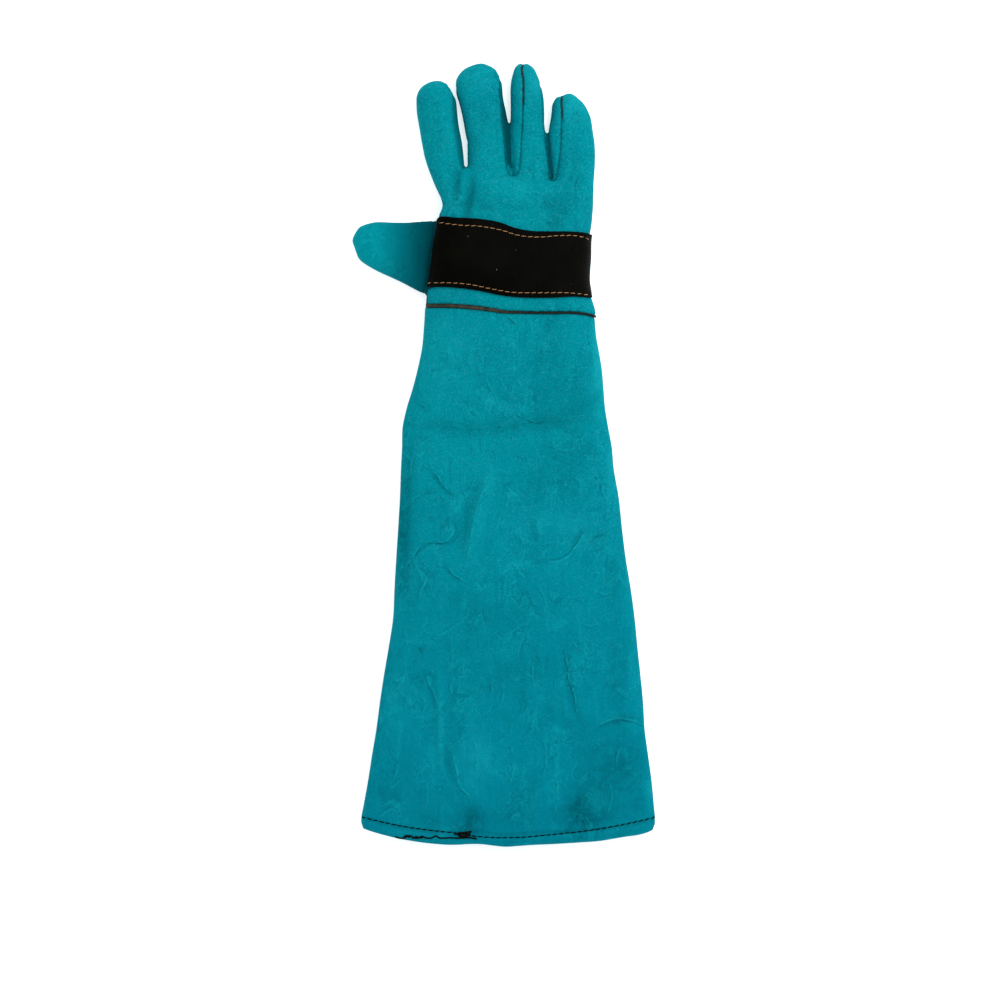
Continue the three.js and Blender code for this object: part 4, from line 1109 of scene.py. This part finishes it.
suedeLook = {
    # hem: painted falloff of light towards the hem; crease: painted shade and dark pits; pale: also painted
    # highlights
    "base": "#00909C", "hem": "#007F94", "cloud": "#007E90", "smudge": "#00707F", "light": "#089DAB",
    "pale": "#1CB6C2",
    "fleck": "#3AB0BA", "crease": "#00343D", "seam": "#001A1E", "fibre": 0.95, "fuzz": 0.55,
    # patches over the base: colour, strength, then size in mm, detail, limits, roughness, distortion and stretch
    "layers": [
        ("cloud", 0.55, (40, 5, 0.38, 0.66, 0.6)), ("light", 0.45, (17, 5, 0.5, 0.75, 0.65, 0.5)),
        ("smudge", 0.45, (11, 5, 0.52, 0.74, 0.65, 0.8)),
        ("smudge", 0.38, (5, 4, 0.5, 0.78, 0.6, 0.5, (1, 0.16, 1))),
        ("light", 0.4, (3.4, 3, 0.55, 0.8, 0.6, 0.4, (1, 0.2, 1))),
    ],
    "wrinkleLines": [(1.3, 0.6), (2.4, 1.0)], "veinLines": [(0.5, 0.022), (0.536, 0.03)],  # middle and width
}


# A thin line where a field passes through a value, as strong as the given shares.
def thinLine(material, field, middle, wide, *shares):
    off = addNode(material, "ShaderNodeMath", {"operation": "SUBTRACT"}, {0: field, 1: middle}).outputs[0]
    near = addNode(material, "ShaderNodeMath", {"operation": "ABSOLUTE"}, {0: off}).outputs[0]
    made = addNode(material, "ShaderNodeMapRange", {"interpolation_type": "SMOOTHSTEP"}, {
        "Value": near, "From Min": wide, "From Max": 0.0}).outputs[0]
    for share in shares:
        made = addNode(material, "ShaderNodeMath", {"operation": "MULTIPLY"}, {0: made, 1: share}).outputs[0]
    return made


# A thin irregular line of painted shade where a field of distances passes through 0, and a paler lip beside it,
# a painted highlight.
def wrinkleLine(material, where, key):
    distance = addNode(material, "ShaderNodeAttribute", {"attribute_name": key}).outputs["Fac"]
    strong = addNode(material, "ShaderNodeAttribute", {"attribute_name": key + "Strong"}).outputs["Fac"]
    wander = addNode(material, "ShaderNodeTexNoise", {}, {"Vector": where, "Scale": 1000 / 5, "Detail": 4})
    moved = addNode(material, "ShaderNodeMath", {"operation": "MULTIPLY_ADD"}, {
        0: wander.outputs[0], 1: 2.6, 2: distance}).outputs[0]
    broken = patches(material, where, 4, 2, 0.36, 0.6)
    return [thinLine(material, moved, *shape, strong, broken) for shape in suedeLook["wrinkleLines"]]


# Fine irregular lines of painted shade where a random field passes through its middle, and a paler line beside them,
# a painted highlight.
def veins(material, where, size, stretch, keptSize):
    vector = addNode(material, "ShaderNodeMapping", {}, {"Vector": where, "Scale": stretch}).outputs[0]
    field = addNode(material, "ShaderNodeTexNoise", {}, {
        "Vector": vector, "Scale": 1000 / size, "Detail": 4, "Roughness": 0.6, "Distortion": 0.7}).outputs[0]
    kept = patches(material, where, keptSize, 3, 0.46, 0.62)
    return [thinLine(material, field, *shape, kept) for shape in suedeLook["veinLines"]]


# Split cowhide dyed blue-green and buffed to a nap: dull, with clouds partly where the nap lies another way and
# partly painted light and shade, fine pale fibre ends, painted shade in the creases and seams, and darker towards
# the hem, a painted falloff of the light.
def makeSuede():
    material, where = startMaterial("dyed split suede")
    look = suedeLook
    grain, tone, shade, seam, seamStrong = (
        addNode(material, "ShaderNodeAttribute", {"attribute_name": name}).outputs["Fac"]
        for name in ("grain", "tone", "shade", "seam", "seamDark"))
    # darker towards the hem: a painted falloff of the light along the glove
    along = addNode(material, "ShaderNodeSeparateXYZ", {}, {"Vector": where}).outputs["Y"]
    hemFalloff = addNode(material, "ShaderNodeMapRange", {}, {
        "Value": along, "From Min": 0.1, "From Max": -0.22}).outputs[0]
    colour = tinted(material, toLinear(look["base"]), look["hem"], hemFalloff)
    for other, strength, pattern in look["layers"]:
        colour = tinted(material, colour, look[other], patches(material, where, *pattern), strength)
    for other, pattern in (("fleck", (look["fibre"], 2, 0.52, 0.7)),
                           ("crease", (look["fibre"] * 1.25, 2, 0.53, 0.72, 0.5, 0.3))):
        specks = addNode(material, "ShaderNodeMath", {"operation": "MULTIPLY"}, {
            0: patches(material, where, *pattern), 1: grain}).outputs[0]
        colour = tinted(material, colour, look[other], specks, 0.32)
    # the clouds of tone, partly nap lying another way and partly painted light and shade, broken up by noise
    broken = patches(material, where, 6, 5, 0.3, 0.7, 0.65, 0.5)
    uneven = addNode(material, "ShaderNodeMath", {"operation": "MULTIPLY_ADD"}, {
        0: broken, 1: 1.1, 2: 0.45}).outputs[0]
    tone = addNode(material, "ShaderNodeMath", {"operation": "MULTIPLY"}, {0: tone, 1: uneven}).outputs[0]
    for other, most in ((look["crease"], -30), (look["pale"], 30)):
        share = addNode(material, "ShaderNodeMapRange", {}, {
            "Value": tone, "From Min": 0, "From Max": most}).outputs[0]
        colour = tinted(material, colour, other, share, 0.6)
    # fine crackle creases in colour only: painted shade in each and a painted highlight beside it
    for dark, pale in (veins(material, where, 15, (1, 0.6, 1), 22), veins(material, where, 10, (1, 1, 1), 17)):
        colour = tinted(material, colour, look["pale"], pale, 0.16)
        colour = tinted(material, colour, look["crease"], dark, 0.2)
    # the fine wrinkles: painted shade in each line and a painted highlight on its paler lip
    lines = [wrinkleLine(material, where, key) for key in ("wrinkle", "crossWrinkle")]
    for dark, pale in lines:
        colour = tinted(material, colour, look["pale"], pale, 0.42)
        colour = tinted(material, colour, look["crease"], dark, 0.55)
    # painted shade and shadow from the shade attribute: creases, hollows, the hem's stitched row, the thumb's root
    colour = tinted(material, colour, look["crease"], shade, 0.9)
    # darker along the seams: thread in the groove and painted shade there
    close = addNode(material, "ShaderNodeMapRange", {"interpolation_type": "SMOOTHSTEP"}, {
        "Value": seam, "From Min": 1.0, "From Max": 0.0}).outputs[0]
    sewn = addNode(material, "ShaderNodeMath", {"operation": "MULTIPLY"}, {0: close, 1: seamStrong}).outputs[0]
    colour = tinted(material, colour, look["seam"], sewn, 0.95)
    nap = addNode(material, "ShaderNodeTexNoise", {}, {"Vector": where, "Scale": 1000 / look["fuzz"], "Detail": 3})
    lay = addNode(material, "ShaderNodeTexNoise", {}, {"Vector": where, "Scale": 1000 / 3.5, "Detail": 3})
    height = addNode(material, "ShaderNodeMath", {"operation": "MULTIPLY_ADD"}, {
        0: lay.outputs[0], 1: 1.6, 2: nap.outputs[0]}).outputs[0]
    for dark, pale in lines:
        height = addNode(material, "ShaderNodeMath", {"operation": "MULTIPLY_ADD"}, {
            0: dark, 1: -2.5, 2: height}).outputs[0]
    bump = addNode(material, "ShaderNodeBump", {}, {"Height": height, "Distance": 0.00024, "Strength": grain})
    rough = addNode(material, "ShaderNodeMapRange", {}, {"Value": nap.outputs[0], "To Min": 0.86, "To Max": 1})
    return endMaterial(material, Base_Color=colour, Roughness=rough.outputs[0], Normal=bump.outputs[0],
                       Sheen_Weight=0.08, Sheen_Roughness=0.6, Sheen_Tint=toLinear("#00B4C3"), IOR=1.4,
                       Specular_IOR_Level=0.08, Specular_Tint=toLinear("#20C4D0"))


# Smooth finished cowhide, dyed black: satin, with a faint grain and a few pale specks of lint.
def makeBlackLeather():
    material, where = startMaterial("finished black leather")
    colour = toLinear("#030402")
    colour = tinted(material, colour, "#0A0B06", patches(material, where, 30, 3, 0.4, 0.7), 0.6)
    colour = tinted(material, colour, "#8C8C84", patches(material, where, 1.3, 1, 0.79, 0.83), 0.7)
    cells = addNode(material, "ShaderNodeTexVoronoi", {"feature": "DISTANCE_TO_EDGE"}, {
        "Vector": where, "Scale": 1000 / 1.1})
    grain = addNode(material, "ShaderNodeMapRange", {}, {"Value": cells.outputs[0], "From Max": 0.25})
    soft = addNode(material, "ShaderNodeTexNoise", {}, {"Vector": where, "Scale": 1000 / 5, "Detail": 3})
    height = addNode(material, "ShaderNodeMath", {"operation": "MULTIPLY_ADD"}, {
        0: soft.outputs[0], 1: 2.0, 2: grain.outputs[0]})
    bump = addNode(material, "ShaderNodeBump", {}, {
        "Height": height.outputs[0], "Distance": 0.00006, "Strength": 1})
    rough = addNode(material, "ShaderNodeMapRange", {}, {"Value": soft.outputs[0], "To Min": 0.42, "To Max": 0.6})
    return endMaterial(material, Base_Color=colour, Roughness=rough.outputs[0], Normal=bump.outputs[0],
                       Specular_IOR_Level=0.025)


# A folded strip of thin dark leather: brown-grey, with a slightly lighter top, darker sides and a darker right end.
def makeStripLeather():
    material, where = startMaterial("dark welt leather")
    colour = toLinear("#232A23")
    colour = tinted(material, colour, "#4A473B", patches(material, where, 9, 3, 0.35, 0.65), 0.75)
    colour = tinted(material, colour, "#081412", patches(material, where, 3, 3, 0.5, 0.75), 0.6)
    across = addNode(material, "ShaderNodeSeparateXYZ", {}, {"Vector": where}).outputs["X"]
    right = addNode(material, "ShaderNodeMapRange", {}, {"Value": across, "From Min": -0.012, "From Max": 0.014})
    colour = tinted(material, colour, "#0A1714", right.outputs[0], 0.9)
    rim = addNode(material, "ShaderNodeAttribute", {"attribute_name": "rim"}).outputs["Fac"]
    sides = addNode(material, "ShaderNodeMapRange", {"interpolation_type": "SMOOTHSTEP"}, {
        "Value": rim, "From Min": 0.5, "From Max": 0.9}).outputs[0]
    colour = tinted(material, colour, "#04100F", sides, 0.9)
    fine = addNode(material, "ShaderNodeTexNoise", {}, {"Vector": where, "Scale": 1000 / 0.9, "Detail": 3})
    bump = addNode(material, "ShaderNodeBump", {}, {"Height": fine.outputs[0], "Distance": 0.00012, "Strength": 1})
    return endMaterial(material, Base_Color=colour, Roughness=0.75, Normal=bump.outputs[0], Specular_IOR_Level=0.15)


# Bonded polyester sewing thread: plies that twist round each other give it a fine slanted ribbing.
def makeThread(name, colour, deep, roughness, shine):
    material, where = startMaterial(name)
    twist = addNode(material, "ShaderNodeTexWave", {"wave_type": "BANDS", "bands_direction": "DIAGONAL"}, {
        "Vector": where, "Scale": 1000 / 1.6, "Distortion": 1.0})
    shade = tinted(material, toLinear(colour), deep, twist.outputs["Fac"], 0.55)
    bump = addNode(material, "ShaderNodeBump", {}, {
        "Height": twist.outputs["Fac"], "Distance": 0.0001, "Strength": 1})
    return endMaterial(material, Base_Color=shade, Roughness=roughness, Normal=bump.outputs[0],
                       Specular_IOR_Level=shine)


floorLook = {"size": 6.0, "glow": 0.6}


def makeFloorMaterial():
    material, where = startMaterial("white backdrop paper")
    colour = tinted(material, toLinear("#FAFAFA"), "#F4F4F4", patches(material, where, 400, 2, 0.4, 0.6), 0.5)
    return endMaterial(material, Base_Color=colour, Roughness=0.9, Specular_IOR_Level=0.1,
                       Emission_Color=toLinear("#FFFFFF"), Emission_Strength=floorLook["glow"])


def makeFloor():
    bm = bmesh.new()
    bmesh.ops.create_grid(bm, x_segments=1, y_segments=1, size=floorLook["size"] / 2)
    floor = newObject("floor", bm)
    floor.data.transform(Matrix.Translation((0, 0, -0.0002)))
    floor.data.materials.append(makeFloorMaterial())


studio = {"world": 0.62, "keySize": 1.0, "keyPower": 16.5, "keyAt": (0.6, 0.5, 1.6)}


def makeLight():
    scene = bpy.context.scene
    world = bpy.data.worlds.new("studio air")
    scene.world = world
    world.use_nodes = True
    background = world.node_tree.nodes["Background"]
    background.inputs["Color"].default_value = (1, 1, 1, 1)
    background.inputs["Strength"].default_value = studio["world"]
    lamp = bpy.data.lights.new("key softbox", "AREA")
    lamp.shape = "SQUARE"
    lamp.size = studio["keySize"]
    lamp.energy = studio["keyPower"]
    key = bpy.data.objects.new("key softbox", lamp)
    key.location = studio["keyAt"]
    key.rotation_euler = (Vector((0, 0, 0)) - key.location).to_track_quat("-Z", "Y").to_euler()
    scene.collection.objects.link(key)
    scene.view_settings.view_transform = "Standard"


# wide is what the picture shows across, at the height focusZ
cameraLook = {"high": 4.0, "at": (-0.00187, -0.0267), "wide": 0.5687, "focusZ": 0.007}


def makeCamera():
    lens = bpy.data.cameras.new("camera")
    lens.sensor_width = 36
    lens.lens = lens.sensor_width * cameraLook["high"] / cameraLook["wide"]
    lens.clip_start, lens.clip_end = 0.05, 20
    camera = bpy.data.objects.new("camera", lens)
    camera.location = (*cameraLook["at"], cameraLook["high"] + cameraLook["focusZ"])
    bpy.context.scene.collection.objects.link(camera)
    bpy.context.scene.camera = camera


makeCamera()
makeLight()
makeFloor()
print("camera, light and floor ready")

suede = makeSuede()
blackLeather = makeBlackLeather()
stripLeather = makeStripLeather()
tanThread = makeThread("tan bonded thread", "#C4935E", "#7F5630", 0.5, 0.3)
darkThread = makeThread("black bonded thread", "#040807", "#010202", 0.7, 0.03)
brownThread = makeThread("brown waxed thread", "#44341F", "#140D06", 0.55, 0.15)
oliveThread = makeThread("olive black thread", "#0C1009", "#020402", 0.65, 0.06)

body, panels = makeHand()
bandPiece = makeBand(body)
print("band laid on")
bandStitches = makeBandStitches(bandPiece)
cuffs = makeSleeve()
welt = makeStrip()
hemStitches, looseThread, curl, tangle = makeHemStitches(cuffs["cuff_upper"])
ringThread, littleThread, seamStitches = makeSeamThreads(body)
bpy.data.objects.remove(body)
print("stitches sewn")

suedePieces = {
    "hand_back": "back_panel", "hand_palm": "palm_panel", "strip_index_middle": "side_strip_index_middle",
    "strip_middle_ring": "side_strip_middle_ring", "strip_ring_little": "side_strip_ring_little",
    "thumb_upper": "thumb_back", "thumb_under": "thumb_palm", "cuff_upper": "sleeve_back",
    "cuff_lower": "sleeve_front",
}
for name, node in suedePieces.items():
    finishPiece({**panels, **cuffs}[name], suede, "blue_green_suede", node)
finishPiece(bandPiece, blackLeather, "black_leather", "knuckle_band")
finishPiece(welt, stripLeather, "dark_strip", "wrist_strip")
finishPiece(bandStitches, tanThread, "tan_thread")
for piece, thread in ((hemStitches, darkThread), (looseThread, darkThread), (curl, oliveThread),
                      (tangle, oliveThread), (seamStitches, darkThread), (ringThread, brownThread),
                      (littleThread, brownThread)):
    finishPiece(piece, thread, "dark_thread")
print("pieces finished")
